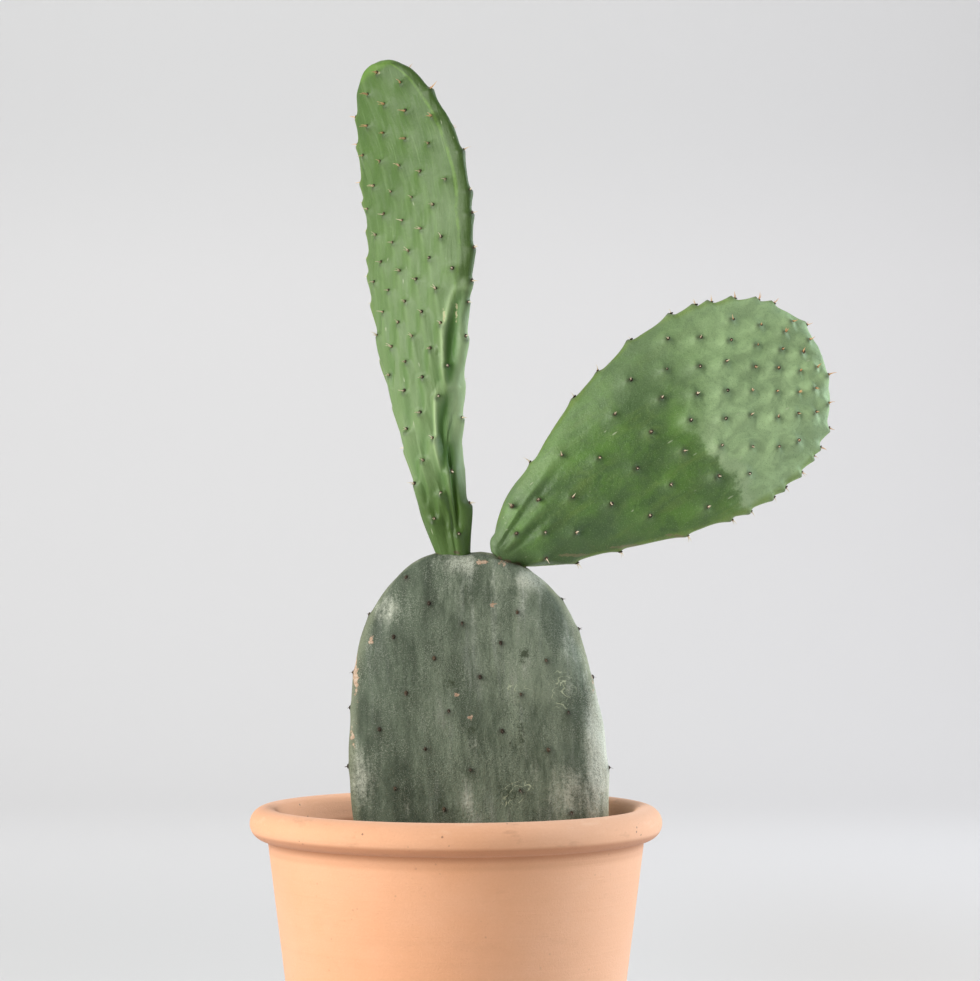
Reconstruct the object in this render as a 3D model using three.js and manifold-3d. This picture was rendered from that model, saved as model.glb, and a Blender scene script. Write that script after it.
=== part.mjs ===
// A potted paddle cactus: an old grey-green pad planted in a rolled-rim terracotta pot, carrying a tall
// narrow pad that is turned away and a broad pad that leans to the right. Millimetres, +Z up, with the
// origin at the middle of the pot's underside and -Y towards the viewer.

import * as THREE from "three";
import { mergeVertices } from "three/addons/utils/BufferGeometryUtils.js";
import Module from "manifold-3d";

const wasm = await Module();
wasm.setup();

// ---------------------------------------------------------------- driving dimensions

const SEAT_GAP = 0.3; // between pieces that rest on or in each other

const POT = {
  height: 190,
  rollRadius: 8.3, // the rolled rim, a round bead
  rollCentreRadius: 96.7, // from the pot's axis to the middle of the bead
  wallRadiusUnderRoll: 95.9,
  footRadius: 74.2,
  footRounding: 2.5,
  wall: 7.2,
  floor: 9,
  segments: 64,
};

const DRAIN = { count: 3, radius: 6, circleRadius: 34, sides: 16 };

const SOIL = {
  level: 160, // height of the surface over the table
  clodHeight: 1.6,
  ringPitch: 10,
  segments: 40,
};

// The plant stands a little right of the pot's axis, with its old pad buried to this height.
const PLANT = { offsetX: 11.2, buriedTo: 98 };

const GOLDEN_SHARE = (3 - Math.sqrt(5)) / 2; // of a turn, from each areole to the next

// Each pad is a flattened stem. Its centreline is a cubic curve in the plant's frame, from where the pad
// starts to its tip. Knots are [share of the length, value]. `turn` is how far the face is turned from the
// viewer, `squareness` how boxy the cross-section is, and `dish` how far the side edges bend backwards.
// A flute is a long groove or ridge: `off` the right-hand edge in half-widths, forwards if positive.
const OLD_PAD = {
  name: "old_base_pad",
  colour: 0x72806e,
  centreline: [
    [0, 0, 0],
    [8.8, 0, 74],
    [-8.2, 0, 148],
    [-3.2, 0, 221.1],
  ],
  halfWidth: [
    [0, 71.5],
    [1, 60.9],
  ],
  halfThickness: [
    [0, 9.5],
    [0.25, 12.6],
    [0.5, 13.4],
    [0.8, 12.4],
    [1, 11.2],
  ],
  turn: [
    [0, 3],
    [1, 3],
  ],
  squareness: [
    [0, 3.2],
    [1, 3.2],
  ],
  dish: -2.5,
  tip: { from: 0.498, power: 2.6, edge: 8 },
  foot: { to: 0.498, power: 2, edge: 6 },
  flutes: [],
  areoles: {
    first: 0.32, // none below the soil
    last: 0.985,
    start: 0.37,
    hand: -1,
    spacing: [
      [0, 30],
      [0.5, 27],
      [1, 20],
    ],
    height: [
      [0, 0.5],
      [1, 0.8],
    ],
    // and none where the other pads are seated: the middle of each seat and its radius
    bare: [
      { at: [-14.2, 0, 220], radius: 24 },
      { at: [19, 0, 216], radius: 27 },
    ],
    reach: 4.5,
    tail: [
      [0, 6],
      [1, 6],
    ],
    spine: [
      [0, 1],
      [1, 1.2],
    ],
  },
  rings: 27,
  around: 36,
};

const TALL_PAD = {
  name: "tall_pad",
  colour: 0x7fa067,
  centreline: [
    [-9.8, 0, 209],
    [-49.5, -6, 378.5],
    [-9.7, 4, 371.5],
    [-53.5, 12, 471.5],
  ],
  halfWidth: [
    [0, 5.8],
    [0.06, 11.4],
    [0.12, 12.9],
    [0.2, 17.7],
    [0.29, 26.1],
    [0.38, 31.9],
    [0.5, 37.8],
    [0.62, 37.7],
    [0.72, 38.4],
    [1, 38.2],
  ],
  halfThickness: [
    [0, 7.2],
    [0.12, 8.2],
    [0.3, 7.4],
    [0.6, 6.2],
    [0.85, 5.4],
    [1, 5],
  ],
  turn: [
    [0, 8],
    [0.1, 18],
    [0.22, 34],
    [0.4, 45],
    [1, 44],
  ],
  squareness: [
    [0, 3.2],
    [0.2, 4.2],
    [0.45, 3.4],
    [0.7, 2.8],
    [1, 2.6],
  ],
  dish: -2,
  tip: { from: 0.68, power: 2.28, edge: 7 },
  // a groove down the thick right-hand edge of the neck, between two ridges
  flutes: [
    { off: 0, reach: 0.06, from: 0.02, to: 0.46, height: -2.2 },
    { off: 0.11, reach: 0.07, from: 0.02, to: 0.46, height: 1.5 },
    { off: -0.11, reach: 0.07, from: 0.02, to: 0.46, height: 1.2 },
    { off: 0.42, reach: 0.1, from: 0.1, to: 0.5, height: 1.1 },
  ],
  areoles: {
    first: 0.042,
    last: 0.985,
    start: 0.12,
    hand: -1,
    spacing: [
      [0, 14.5],
      [0.12, 17],
      [0.4, 20],
      [0.75, 17.5],
      [1, 12.5],
    ],
    height: [
      [0, 2.4],
      [0.4, 1.9],
      [1, 1.9],
    ],
    reach: 5.2,
    tail: [
      [0, 16],
      [0.3, 18],
      [0.5, 8],
      [1, 6],
    ],
    spine: [
      [0, 2],
      [0.6, 2.2],
      [1, 3.6],
    ],
  },
  rings: 46,
  around: 32,
};

const BROAD_PAD = {
  name: "broad_pad",
  colour: 0x5f8a50,
  centreline: [
    [9.8, 0, 218.5],
    [31.4, 1, 236.1],
    [135.6, 5, 309.2],
    [175.6, 12, 322.3],
  ],
  halfWidth: [
    [0, 3.7],
    [0.03, 8.9],
    [0.07, 11.1],
    [0.13, 17],
    [0.2, 23.9],
    [0.27, 28],
    [0.39, 38.9],
    [0.51, 47.9],
    [0.63, 52.7],
    [1, 52.8],
  ],
  halfThickness: [
    [0, 6.4],
    [0.15, 8.2],
    [0.4, 8.2],
    [0.7, 6.8],
    [1, 5.4],
  ],
  turn: [
    [0, 0],
    [1, 6],
  ],
  squareness: [
    [0, 3.4],
    [1, 2.9],
  ],
  dish: -5,
  tip: { from: 0.62, power: 2.05, edge: 7 },
  flutes: [],
  areoles: {
    first: 0.12,
    last: 0.985,
    start: 0.3,
    hand: 1,
    spacing: [
      [0, 15],
      [0.15, 21],
      [0.4, 24],
      [0.7, 18.5],
      [1, 12],
    ],
    height: [
      [0, 1.4],
      [0.5, 1.3],
      [1, 1.9],
    ],
    reach: 5.2,
    tail: [
      [0, 9],
      [0.5, 6],
      [1, 6],
    ],
    spine: [
      [0, 2],
      [0.6, 2],
      [1, 3.4],
    ],
  },
  rings: 38,
  around: 36,
};

const SPINE = {
  rootDepth: 1.2, // sunk into the pad
  rootRadius: 0.5,
  sides: 3,
  lift: 0.35, // how far it leans towards the pad's tip
  scatter: 0.3, // seeded variation of its direction
};

const EDGE_AREOLE = 0.84; // an areole this far out or further sits on the pad's very edge
const EDGE_CROWDING = 0.45; // how much closer together the mesh lines are at a pad's edges
const TIP_CROWDING = 1.5; // and towards its tip

const TERRACOTTA = { color: 0xdba27c, roughness: 0.85, metalness: 0 };
const POTTING_MIX = { color: 0x3d2f26, roughness: 0.95, metalness: 0 };

// ---------------------------------------------------------------- small helpers

// A repeatable number from 0 to 1 for each pair of whole numbers.
function draw(n, k) {
  const value = Math.sin(n * 12.9898 + k * 78.233) * 43758.5453;
  return value - Math.floor(value);
}

// The value at `s` of a smooth curve through the knots.
function through(knots, s) {
  const last = knots.length - 1;
  let i = 0;
  while (i < last - 1 && s > knots[i + 1][0]) i += 1;
  const slope = (a, b) => (knots[b][1] - knots[a][1]) / (knots[b][0] - knots[a][0]);
  const [s0, v0] = knots[i];
  const [s1, v1] = knots[i + 1];
  const span = s1 - s0;
  const m0 = slope(Math.max(i - 1, 0), i + 1) * span;
  const m1 = slope(i, Math.min(i + 2, last)) * span;
  const t = THREE.MathUtils.clamp((s - s0) / span, 0, 1);
  return (
    v0 * (2 * t ** 3 - 3 * t ** 2 + 1) +
    m0 * (t ** 3 - 2 * t ** 2 + t) +
    v1 * (3 * t ** 2 - 2 * t ** 3) +
    m1 * (t ** 3 - t ** 2)
  );
}

// Falls from 1 to 0 along a superellipse's quarter as t goes from 0 to 1.
function roundedEnd(t, power) {
  const clamped = THREE.MathUtils.clamp(t, 0, 1);
  return (1 - clamped ** power) ** (1 / power);
}

// A closed BufferGeometry as a manifold-3d solid, for joining and cutting.
function toSolid(geometry) {
  const bare = new THREE.BufferGeometry();
  bare.setAttribute("position", geometry.getAttribute("position"));
  bare.setIndex(geometry.index);
  const merged = mergeVertices(bare, 1e-3);
  return new wasm.Manifold(
    new wasm.Mesh({
      numProp: 3,
      vertProperties: new Float32Array(merged.attributes.position.array),
      triVerts: new Uint32Array(merged.index.array),
    }),
  );
}

function toGeometry(solid) {
  const mesh = solid.getMesh();
  const geometry = new THREE.BufferGeometry();
  geometry.setAttribute("position", new THREE.BufferAttribute(mesh.vertProperties, 3));
  geometry.setIndex(new THREE.BufferAttribute(mesh.triVerts, 1));
  geometry.computeVertexNormals();
  return geometry;
}

function piece(name, solid, finish) {
  const mesh = new THREE.Mesh(toGeometry(solid), new THREE.MeshStandardMaterial(finish));
  mesh.name = name;
  return mesh;
}

// ---------------------------------------------------------------- pot and soil

// The outside wall's radius at a height, and the inside wall's.
function wallRadius(z) {
  const underRoll = POT.height - 2 * POT.rollRadius;
  return POT.footRadius + ((POT.wallRadiusUnderRoll - POT.footRadius) * z) / underRoll;
}

const cavityRadius = (z) => wallRadius(z) - POT.wall;

// Half the pot's section: up the outside, round the rolled rim, and down the inside to the floor.
function potSection() {
  const rollMiddle = POT.height - POT.rollRadius;
  const underRoll = rollMiddle - 1.07 * POT.rollRadius;
  const shape = new THREE.Shape();
  shape.moveTo(0, 0);
  shape.lineTo(POT.footRadius - POT.footRounding, 0);
  shape.lineTo(POT.footRadius - POT.footRounding * 0.3, POT.footRounding * 0.3);
  shape.lineTo(wallRadius(POT.footRounding), POT.footRounding);
  shape.lineTo(wallRadius(underRoll), underRoll);
  shape.absarc(POT.rollCentreRadius, rollMiddle, POT.rollRadius, -0.5 * Math.PI, 0.62 * Math.PI);
  const lip = cavityRadius(rollMiddle);
  shape.quadraticCurveTo(lip + 0.4, POT.height - 1.5, lip, rollMiddle);
  shape.lineTo(cavityRadius(POT.floor + 4), POT.floor + 4);
  shape.lineTo(cavityRadius(POT.floor) - 1.2, POT.floor + 1.2);
  shape.lineTo(cavityRadius(POT.floor) - 4, POT.floor);
  shape.lineTo(0, POT.floor);
  return shape.getPoints(4);
}

function terracottaPot() {
  const turned = new THREE.LatheGeometry(potSection(), POT.segments).rotateX(Math.PI / 2);
  let pot = toSolid(turned);
  for (let i = 0; i < DRAIN.count; i += 1) {
    const angle = (2 * Math.PI * i) / DRAIN.count + Math.PI / 2;
    const hole = new THREE.CylinderGeometry(DRAIN.radius, DRAIN.radius, 3 * POT.floor, DRAIN.sides);
    hole.rotateX(Math.PI / 2);
    hole.translate(DRAIN.circleRadius * Math.cos(angle), DRAIN.circleRadius * Math.sin(angle), 0);
    pot = pot.subtract(toSolid(hole));
  }
  return pot;
}

// Small clods and dips of the soil's surface.
function clod(x, y) {
  const coarse = Math.sin(x * 0.31 + 1.3) * Math.cos(y * 0.27 - 0.6);
  const fine = Math.sin(x * 0.83 - y * 0.71) * 0.5;
  return SOIL.clodHeight * (coarse + fine) * 0.6;
}

function pottingSoil() {
  const bottom = POT.floor + SEAT_GAP;
  const section = [new THREE.Vector2(0, bottom)];
  section.push(new THREE.Vector2(cavityRadius(bottom) - 4.5, bottom));
  section.push(new THREE.Vector2(cavityRadius(POT.floor + 5) - SEAT_GAP * 1.4, POT.floor + 5));
  const rim = cavityRadius(SOIL.level) - SEAT_GAP * 1.4;
  const rings = Math.round(rim / SOIL.ringPitch);
  for (let i = rings; i >= 0; i -= 1) section.push(new THREE.Vector2((rim * i) / rings, SOIL.level));
  const turned = new THREE.LatheGeometry(section, SOIL.segments).rotateX(Math.PI / 2);
  const place = turned.getAttribute("position");
  for (let i = 0; i < place.count; i += 1) {
    const [x, y, z] = [place.getX(i), place.getY(i), place.getZ(i)];
    const insideRim = Math.min(1, (rim - Math.hypot(x, y)) / SOIL.ringPitch);
    if (z > SOIL.level - 1) place.setZ(i, z + clod(x, y) * Math.max(insideRim, 0));
  }
  return toSolid(turned);
}

// ---------------------------------------------------------------- pads

// Where the pad's centreline is at `s`, and which ways its length, breadth and face point there.
function axes(pad, s) {
  const curve = new THREE.CubicBezierCurve3(...pad.centreline.map((p) => new THREE.Vector3(...p)));
  const along = curve.getTangent(s);
  const toViewer = new THREE.Vector3(0, -1, 0);
  const across = new THREE.Vector3().crossVectors(along, toViewer).normalize();
  across.applyAxisAngle(along, -THREE.MathUtils.degToRad(through(pad.turn, s)));
  const face = new THREE.Vector3().crossVectors(across, along).normalize();
  return { middle: curve.getPoint(s), along, across, face };
}

// How much of its full breadth (or, with edge powers, thickness) the pad has at `s`.
function endShare(pad, s, edges) {
  const tip = roundedEnd((s - pad.tip.from) / (1 - pad.tip.from), edges ? pad.tip.edge : pad.tip.power);
  if (!pad.foot) return tip;
  return tip * roundedEnd((pad.foot.to - s) / pad.foot.to, edges ? pad.foot.edge : pad.foot.power);
}

const halfWidthAt = (pad, s) => through(pad.halfWidth, s) * endShare(pad, s, false);

// The point of the pad's smooth skin at `s` along it and x from -1 to 1 across it, on the front or back.
function skinPoint(pad, s, x, side, grow) {
  const { middle, across, face } = axes(pad, s);
  const width = halfWidthAt(pad, s) + grow;
  const thickness = through(pad.halfThickness, s) * endShare(pad, s, true) + grow;
  const lens = Math.sqrt(Math.max(0, 1 - Math.abs(x) ** through(pad.squareness, s)));
  const bend = pad.dish * (x * x - 0.35) * (width / 50);
  return middle
    .clone()
    .addScaledVector(across, x * width)
    .addScaledVector(face, side * thickness * lens + bend);
}

const isBare = (pad, point) =>
  (pad.areoles.bare ?? []).some(({ at, radius }) => point.distanceTo(new THREE.Vector3(...at)) < radius);

// The spiral of areoles: each a golden share of a turn round the flattened stem from the last one.
function areolesOf(pad) {
  const { first, last, start, hand, spacing, height, spine } = pad.areoles;
  const curve = new THREE.CubicBezierCurve3(...pad.centreline.map((p) => new THREE.Vector3(...p)));
  const length = curve.getLength();
  const list = [];
  let s = first;
  for (let n = 0; s < last; n += 1) {
    const round = THREE.MathUtils.euclideanModulo(start + hand * n * GOLDEN_SHARE, 1);
    const front = round < 0.5;
    let x = (front ? 1 - 4 * round : 4 * round - 3) + (draw(n, 1) - 0.5) * 0.06;
    if (Math.abs(x) > EDGE_AREOLE) x = Math.sign(x);
    const side = front ? 1 : -1;
    const areole = { n, s, x, side, height: through(height, s), spine: through(spine, s) };
    if (!isBare(pad, skinPoint(pad, s, x, side, 0))) list.push(areole);
    const girth = 4 * halfWidthAt(pad, s);
    s += (0.866 * through(spacing, s) ** 2) / (girth * length);
  }
  return list;
}

// The mesh lines of a pad: rings from its foot to its tip, each going round the front and then the back.
function meshLines(pad) {
  const lines = [];
  for (let i = 0; i <= pad.rings; i += 1) {
    const even = i / pad.rings;
    const s = pad.foot
      ? (1 - Math.cos(Math.PI * even)) / 4 + even / 2
      : 1 - (1 - (even * (1 + even)) / 2) ** TIP_CROWDING;
    const ring = [];
    for (let j = 0; j < pad.around; j += 1) {
      const side = j < pad.around / 2 ? 1 : -1;
      const q = side > 0 ? 1 - (4 * j) / pad.around : (4 * j) / pad.around - 3;
      const x = (1 - EDGE_CROWDING) * q + EDGE_CROWDING * Math.sin((Math.PI / 2) * q);
      ring.push({ s, x, side });
    }
    lines.push(ring);
  }
  return lines;
}

// Moves the nearest mesh point onto each areole, so that its bump has a sharp top.
function snapToAreoles(pad, lines, areoles) {
  const length = pad.centreline.at(-1)[2] - pad.centreline[0][2];
  for (const areole of areoles) {
    const width = halfWidthAt(pad, areole.s);
    let best = null;
    let least = Infinity;
    for (let i = 1; i < lines.length - 1; i += 1) {
      for (let j = 0; j < pad.around; j += 1) {
        const point = lines[i][j];
        const onEdge = Math.abs(point.x) === 1;
        const reachable = !point.areole && onEdge === (Math.abs(areole.x) === 1);
        if (!reachable || (!onEdge && point.side !== areole.side)) continue;
        const away = Math.hypot((point.s - areole.s) * length, (point.x - areole.x) * width);
        if (away < least) [best, least] = [point, away];
      }
    }
    Object.assign(best, { s: areole.s, x: areole.x, areole });
  }
}

// A closed skin over the mesh lines, with a point at each end, and each mesh point's vertex number.
function skinGeometry(pad, lines, grow) {
  const points = [];
  const firstRing = 1;
  const lastRing = lines.length - 2;
  points.push(skinPoint(pad, 0, 0, 1, grow).lerp(skinPoint(pad, 0, 0, -1, grow), 0.5));
  for (let i = firstRing; i <= lastRing; i += 1) {
    for (const p of lines[i]) {
      p.vertex = points.length;
      points.push(skinPoint(pad, p.s, p.x, p.side, grow));
    }
  }
  const tipVertex = points.length;
  const tipAxes = axes(pad, 1);
  points.push(skinPoint(pad, 1, 0, 1, 0).addScaledVector(tipAxes.along, grow));
  const faces = [];
  for (let j = 0; j < pad.around; j += 1) {
    const k = (j + 1) % pad.around;
    faces.push(0, lines[firstRing][j].vertex, lines[firstRing][k].vertex);
    faces.push(tipVertex, lines[lastRing][k].vertex, lines[lastRing][j].vertex);
    for (let i = firstRing; i < lastRing; i += 1) {
      const [a, b] = [lines[i][j].vertex, lines[i][k].vertex];
      const [c, d] = [lines[i + 1][k].vertex, lines[i + 1][j].vertex];
      faces.push(a, c, b, a, d, c);
    }
  }
  const geometry = new THREE.BufferGeometry().setFromPoints(points);
  geometry.setIndex(faces);
  geometry.computeVertexNormals();
  return geometry;
}

// How far the flutes raise or sink the skin at a mesh point.
function fluteRise(pad, { s, x, side }) {
  const off = side * (1 - x);
  let rise = 0;
  for (const flute of pad.flutes) {
    const share = THREE.MathUtils.clamp((s - flute.from) / (flute.to - flute.from), 0, 1);
    const across = (off - flute.off) / flute.reach;
    rise += flute.height * Math.sin(Math.PI * share) * Math.exp(-across * across);
  }
  return rise;
}

// Raises a pointed bump round each areole, with a tail that runs down the pad, and the flutes.
function raiseSkin(pad, geometry, lines, areoles) {
  const place = geometry.getAttribute("position");
  const normal = geometry.getAttribute("normal");
  const sites = areoles.map((areole) => ({
    at: skinPoint(pad, areole.s, areole.x, areole.side, 0),
    along: axes(pad, areole.s).along,
    tail: through(pad.areoles.tail, areole.s),
    height: areole.height,
  }));
  for (const meshPoint of lines.slice(1, -1).flat()) {
    const point = new THREE.Vector3().fromBufferAttribute(place, meshPoint.vertex);
    const outward = new THREE.Vector3().fromBufferAttribute(normal, meshPoint.vertex);
    let rise = 0;
    for (const site of sites) {
      const offset = point.clone().sub(site.at);
      const up = offset.dot(site.along);
      const aside = Math.sqrt(Math.max(0, offset.lengthSq() - up * up));
      const distance = Math.hypot(up / (up > 0 ? pad.areoles.reach : site.tail), aside / pad.areoles.reach);
      rise = Math.max(rise, site.height * Math.exp(-(distance ** 1.2) * 1.6));
    }
    point.addScaledVector(outward, rise + fluteRise(pad, meshPoint));
    place.setXYZ(meshPoint.vertex, point.x, point.y, point.z);
  }
}

// One straight three-sided spine, its root sunk in the pad at a mesh point.
function spineSolid(pad, geometry, point) {
  const { areole, vertex } = point;
  const root = new THREE.Vector3().fromBufferAttribute(geometry.getAttribute("position"), vertex);
  const way = new THREE.Vector3().fromBufferAttribute(geometry.getAttribute("normal"), vertex);
  way.addScaledVector(axes(pad, areole.s).along, SPINE.lift);
  way.x += (draw(areole.n, 2) - 0.5) * SPINE.scatter;
  way.z += (draw(areole.n, 3) - 0.5) * SPINE.scatter;
  way.normalize();
  const length = areole.spine + SPINE.rootDepth;
  const cone = new THREE.ConeGeometry(SPINE.rootRadius, length, SPINE.sides);
  cone.translate(0, length / 2 - SPINE.rootDepth, 0);
  cone.applyQuaternion(new THREE.Quaternion().setFromUnitVectors(new THREE.Vector3(0, 1, 0), way));
  cone.translate(root.x, root.y, root.z);
  return toSolid(cone);
}

function padSolid(pad) {
  const lines = meshLines(pad);
  const areoles = areolesOf(pad);
  snapToAreoles(pad, lines, areoles);
  const geometry = skinGeometry(pad, lines, 0);
  raiseSkin(pad, geometry, lines, areoles);
  let solid = toSolid(geometry);
  for (const point of lines.flat().filter((p) => p.areole)) {
    solid = solid.add(spineSolid(pad, geometry, point));
  }
  return solid;
}

// The smooth pad a little larger all round, for cutting the seat of what rests on it.
const seatCutter = (pad, gap) => toSolid(skinGeometry(pad, meshLines(pad), gap));

// ---------------------------------------------------------------- the plant in its pot

const plantOrigin = new THREE.Vector3(PLANT.offsetX, 0, PLANT.buriedTo);
const oldPadCutter = seatCutter(OLD_PAD, SEAT_GAP);
const buriedHole = oldPadCutter.translate(plantOrigin.toArray());

const part = new THREE.Group();
part.name = "potted_paddle_cactus";
part.add(piece("terracotta_pot", terracottaPot(), TERRACOTTA));
part.add(piece("potting_soil", pottingSoil().subtract(buriedHole), POTTING_MIX));

const plant = new THREE.Group();
plant.position.copy(plantOrigin);
const padFinish = (pad) => ({ color: pad.colour, roughness: 0.6, metalness: 0 });
plant.add(piece(OLD_PAD.name, padSolid(OLD_PAD), padFinish(OLD_PAD)));
for (const pad of [TALL_PAD, BROAD_PAD]) {
  plant.add(piece(pad.name, padSolid(pad).subtract(oldPadCutter), padFinish(pad)));
}
part.add(plant);

export default part;
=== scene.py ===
"""Dresses the potted paddle cactus: clay pot, gritty soil, three pads with their areoles and spines."""

import math

import bpy
import numpy as np
from bpy.props import FloatProperty, FloatVectorProperty, IntProperty, PointerProperty
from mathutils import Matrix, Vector
from mathutils.kdtree import KDTree


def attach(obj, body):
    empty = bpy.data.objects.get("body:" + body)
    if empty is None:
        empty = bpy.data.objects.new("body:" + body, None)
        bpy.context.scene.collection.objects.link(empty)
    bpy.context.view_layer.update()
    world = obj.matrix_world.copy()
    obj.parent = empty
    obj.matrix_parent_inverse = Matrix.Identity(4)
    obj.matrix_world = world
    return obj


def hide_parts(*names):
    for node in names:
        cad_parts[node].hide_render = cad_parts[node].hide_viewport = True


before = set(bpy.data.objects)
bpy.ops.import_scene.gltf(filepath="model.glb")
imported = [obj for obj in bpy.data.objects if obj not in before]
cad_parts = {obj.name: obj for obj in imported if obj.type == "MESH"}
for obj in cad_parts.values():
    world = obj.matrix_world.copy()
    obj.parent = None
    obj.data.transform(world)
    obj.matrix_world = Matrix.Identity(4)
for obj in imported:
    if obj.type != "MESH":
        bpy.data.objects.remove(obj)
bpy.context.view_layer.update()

bl_info = {
    "name": "Potted Paddle Cactus",
    "version": (1, 0, 0),
    "blender": (4, 5, 0),
    "location": "View3D > Sidebar > Cactus",
    "description": "A three-pad paddle cactus in a rolled-rim clay pot",
    "category": "Add Mesh",
}

MM = 0.001
GOLDEN_SHARE = (3 - math.sqrt(5)) / 2  # of a turn, from each areole to the next
HEXAGON_SHARE = 0.866  # of the spacing's square: the patch of skin that an areole has to itself
PLANT_FOOT = np.array([11.2, 0.0, 98.0])  # millimetres, the buried end of the old pad

# ---------------------------------------------------------------- the plant's measurements, in millimetres

# Each pad is a flattened stem over a cubic curve that starts at its foot. Knots are [share of the length,
# value]. A flute is a long groove or ridge whose line wanders `off` the right-hand edge, in half-widths.
# Bloom, scars, stains and scratches are patches of the front: [x, z, reach in x, reach in z, strength].
# Areoles wind from the shares `first` to `last` of the length, from `start` of a turn, right or left by
# `hand`. They leave bare the seats of the other pads, each a middle and a radius.
OLD_PAD = {
    "node": "old_base_pad",
    "centreline": [[0, 0, 0], [8.8, 0, 74], [-8.2, 0, 148], [-3.2, 0, 221.1]],
    "half_width": [[0, 71.5], [1, 60.9]],
    "half_thickness": [[0, 9.5], [0.25, 12.6], [0.5, 13.4], [0.8, 12.4], [1, 11.2]],
    "turn": [[0, 3], [1, 3]],
    "squareness": [[0, 3.2], [1, 3.2]],
    "dish": -2.5,
    "tip": {"from": 0.498, "power": 2.6, "edge": 8},
    "foot": {"to": 0.498, "power": 2, "edge": 6},
    "wave": {"height": 0.55, "length": 46},
    "bloom": [
        [75, 224, 12, 42, 1.12], [60, 198, 15, 20, 0.72], [40, 306, 12, 7, 1.0], [3, 314, 13, 7, 0.85],
        [-33, 291, 10, 9, 0.5], [9, 223, 3.5, 6, 0.6], [40, 211, 6, 11, 0.5], [55, 274, 6, 11, 0.35],
        [-25, 190, 3, 8, 0.6], [7, 193, 4, 14, 0.4], [-49, 203, 11, 15, 0.75], [58, 250, 7, 7, 0.4],
        [16, 299, 30, 15, 0.36],
    ],
    "scars": [
        [-51, 258, 1.8, 13, 1], [0.5, 247.5, 1.8, 1.5, 1], [7.1, 235.8, 2, 1.7, 1], [18.9, 292.9, 2, 1.7, 1],
        [12.7, 314.5, 3, 2, 1], [-43.3, 274, 1.5, 3, 0.8], [24, 314, 4, 1.8, 0.7], [70, 258, 1.2, 9, 0.8],
        [-53, 225, 1.6, 6, 0.8],
    ],
    "stains": [
        [34.9, 267.8, 2.5, 3.2, 0.85], [33.6, 264.2, 1.5, 3, 0.75], [-2.5, 253, 3.5, 3, 0.6],
        [8.7, 229.5, 4, 2.4, 0.7], [15, 280, 3, 9, 0.4], [5, 300, 3, 14, 0.5], [27, 197, 8, 5, 0.5],
        [-8, 189, 3, 14, 0.5], [33, 230, 3, 14, 0.5],
    ],
    "scratches": [[54, 250, 8, 12, 1], [31.6, 200.6, 9, 4, 1], [30, 251, 14, 2.5, 0.8], [29, 193, 8, 6, 0.8]],
    "areoles": {
        "cushion": 1.1, "first": 0.32, "last": 0.985, "start": 0.37, "hand": -1,
        "spacing": [[0, 30], [0.5, 27], [1, 20]],
        "height": [[0, 0.5], [1, 0.8]],
        "bare": [([-14.2, 0, 220], 24), ([19, 0, 216], 27)],
        "reach": 4.5,
        "tail": [[0, 6], [1, 6]],
        "hollow": [[0, 0], [1, 0]],
        "hollow_length": 20,
        "spine": [[0, 0.4], [1, 0.5]],
    },
}

TALL_PAD = {
    "node": "tall_pad",
    "centreline": [[-9.8, 0, 209], [-49.5, -6, 378.5], [-9.7, 4, 371.5], [-53.5, 12, 471.5]],
    "half_width": [
        [0, 5.8], [0.06, 11.4], [0.12, 12.9], [0.2, 17.7], [0.29, 26.1], [0.38, 31.9], [0.5, 37.8],
        [0.62, 37.7], [0.72, 38.4], [1, 38.2],
    ],
    "half_thickness": [[0, 4.4], [0.05, 5.2], [0.12, 8.0], [0.3, 7.4], [0.6, 6.2], [0.85, 5.4], [1, 5]],
    "turn": [[0, 8], [0.1, 18], [0.22, 34], [0.4, 45], [1, 44]],
    "squareness": [[0, 3.2], [0.2, 4.2], [0.45, 3.4], [0.7, 2.8], [1, 2.6]],
    "dish": -2,
    "tip": {"from": 0.68, "power": 2.28, "edge": 7},
    "flutes": [
        {"off": [[0.236, 0.08], [0.31, 0.13], [0.43, 0.05]], "reach": 0.1, "height": -2.2},
        {"off": [[0.236, 0.22], [0.31, 0.26], [0.44, 0.14]], "reach": 0.06, "height": 1.3},
        {"off": [[0.116, 0.40], [0.16, 0.34], [0.236, 0.10]], "reach": 0.12, "height": -2.2},
        {"off": [[0.116, 0.62], [0.16, 0.54], [0.25, 0.34]], "reach": 0.07, "height": 1.3},
        {"off": [[0.05, 0.36], [0.1, 0.23], [0.155, 0.13]], "reach": 0.085, "height": -2.9},
        {"off": [[0.02, -0.06], [0.1, -0.06], [0.2, -0.03], [0.46, -0.02]], "reach": 0.07, "height": 1.2},
        {"off": [[0.01, 0.75], [0.06, 0.62], [0.12, 0.5]], "reach": 0.09, "height": -1.0},
    ],
    "wave": {"height": 0.35, "length": 30},
    "scars": [[-5.7, 437.5, 1.3, 4.5, 0.85], [0.2, 440, 1.2, 6.5, 0.85], [-38.5, 564, 1.1, 0.8, 1]],
    "areoles": {
        "cushion": 1.1, "first": 0.042, "last": 0.985, "start": 0.12, "hand": -1,
        "spacing": [[0, 11], [0.12, 12], [0.3, 14], [0.5, 17], [0.75, 18.5], [1, 13]],
        "height": [[0, 3.2], [0.2, 2.6], [0.4, 2.1], [1, 2.1]],
        "reach": 5.2,
        "tail": [[0, 16], [0.3, 18], [0.5, 8], [1, 6]],
        "hollow": [[0, 1.3], [0.2, 0.9], [0.36, 0.35], [0.45, 0.2], [1, 0.15]],
        "hollow_length": 24,
        "spine": [[0, 3.4], [0.6, 3.9], [0.85, 4.6], [1, 5.6]],
    },
}

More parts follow.
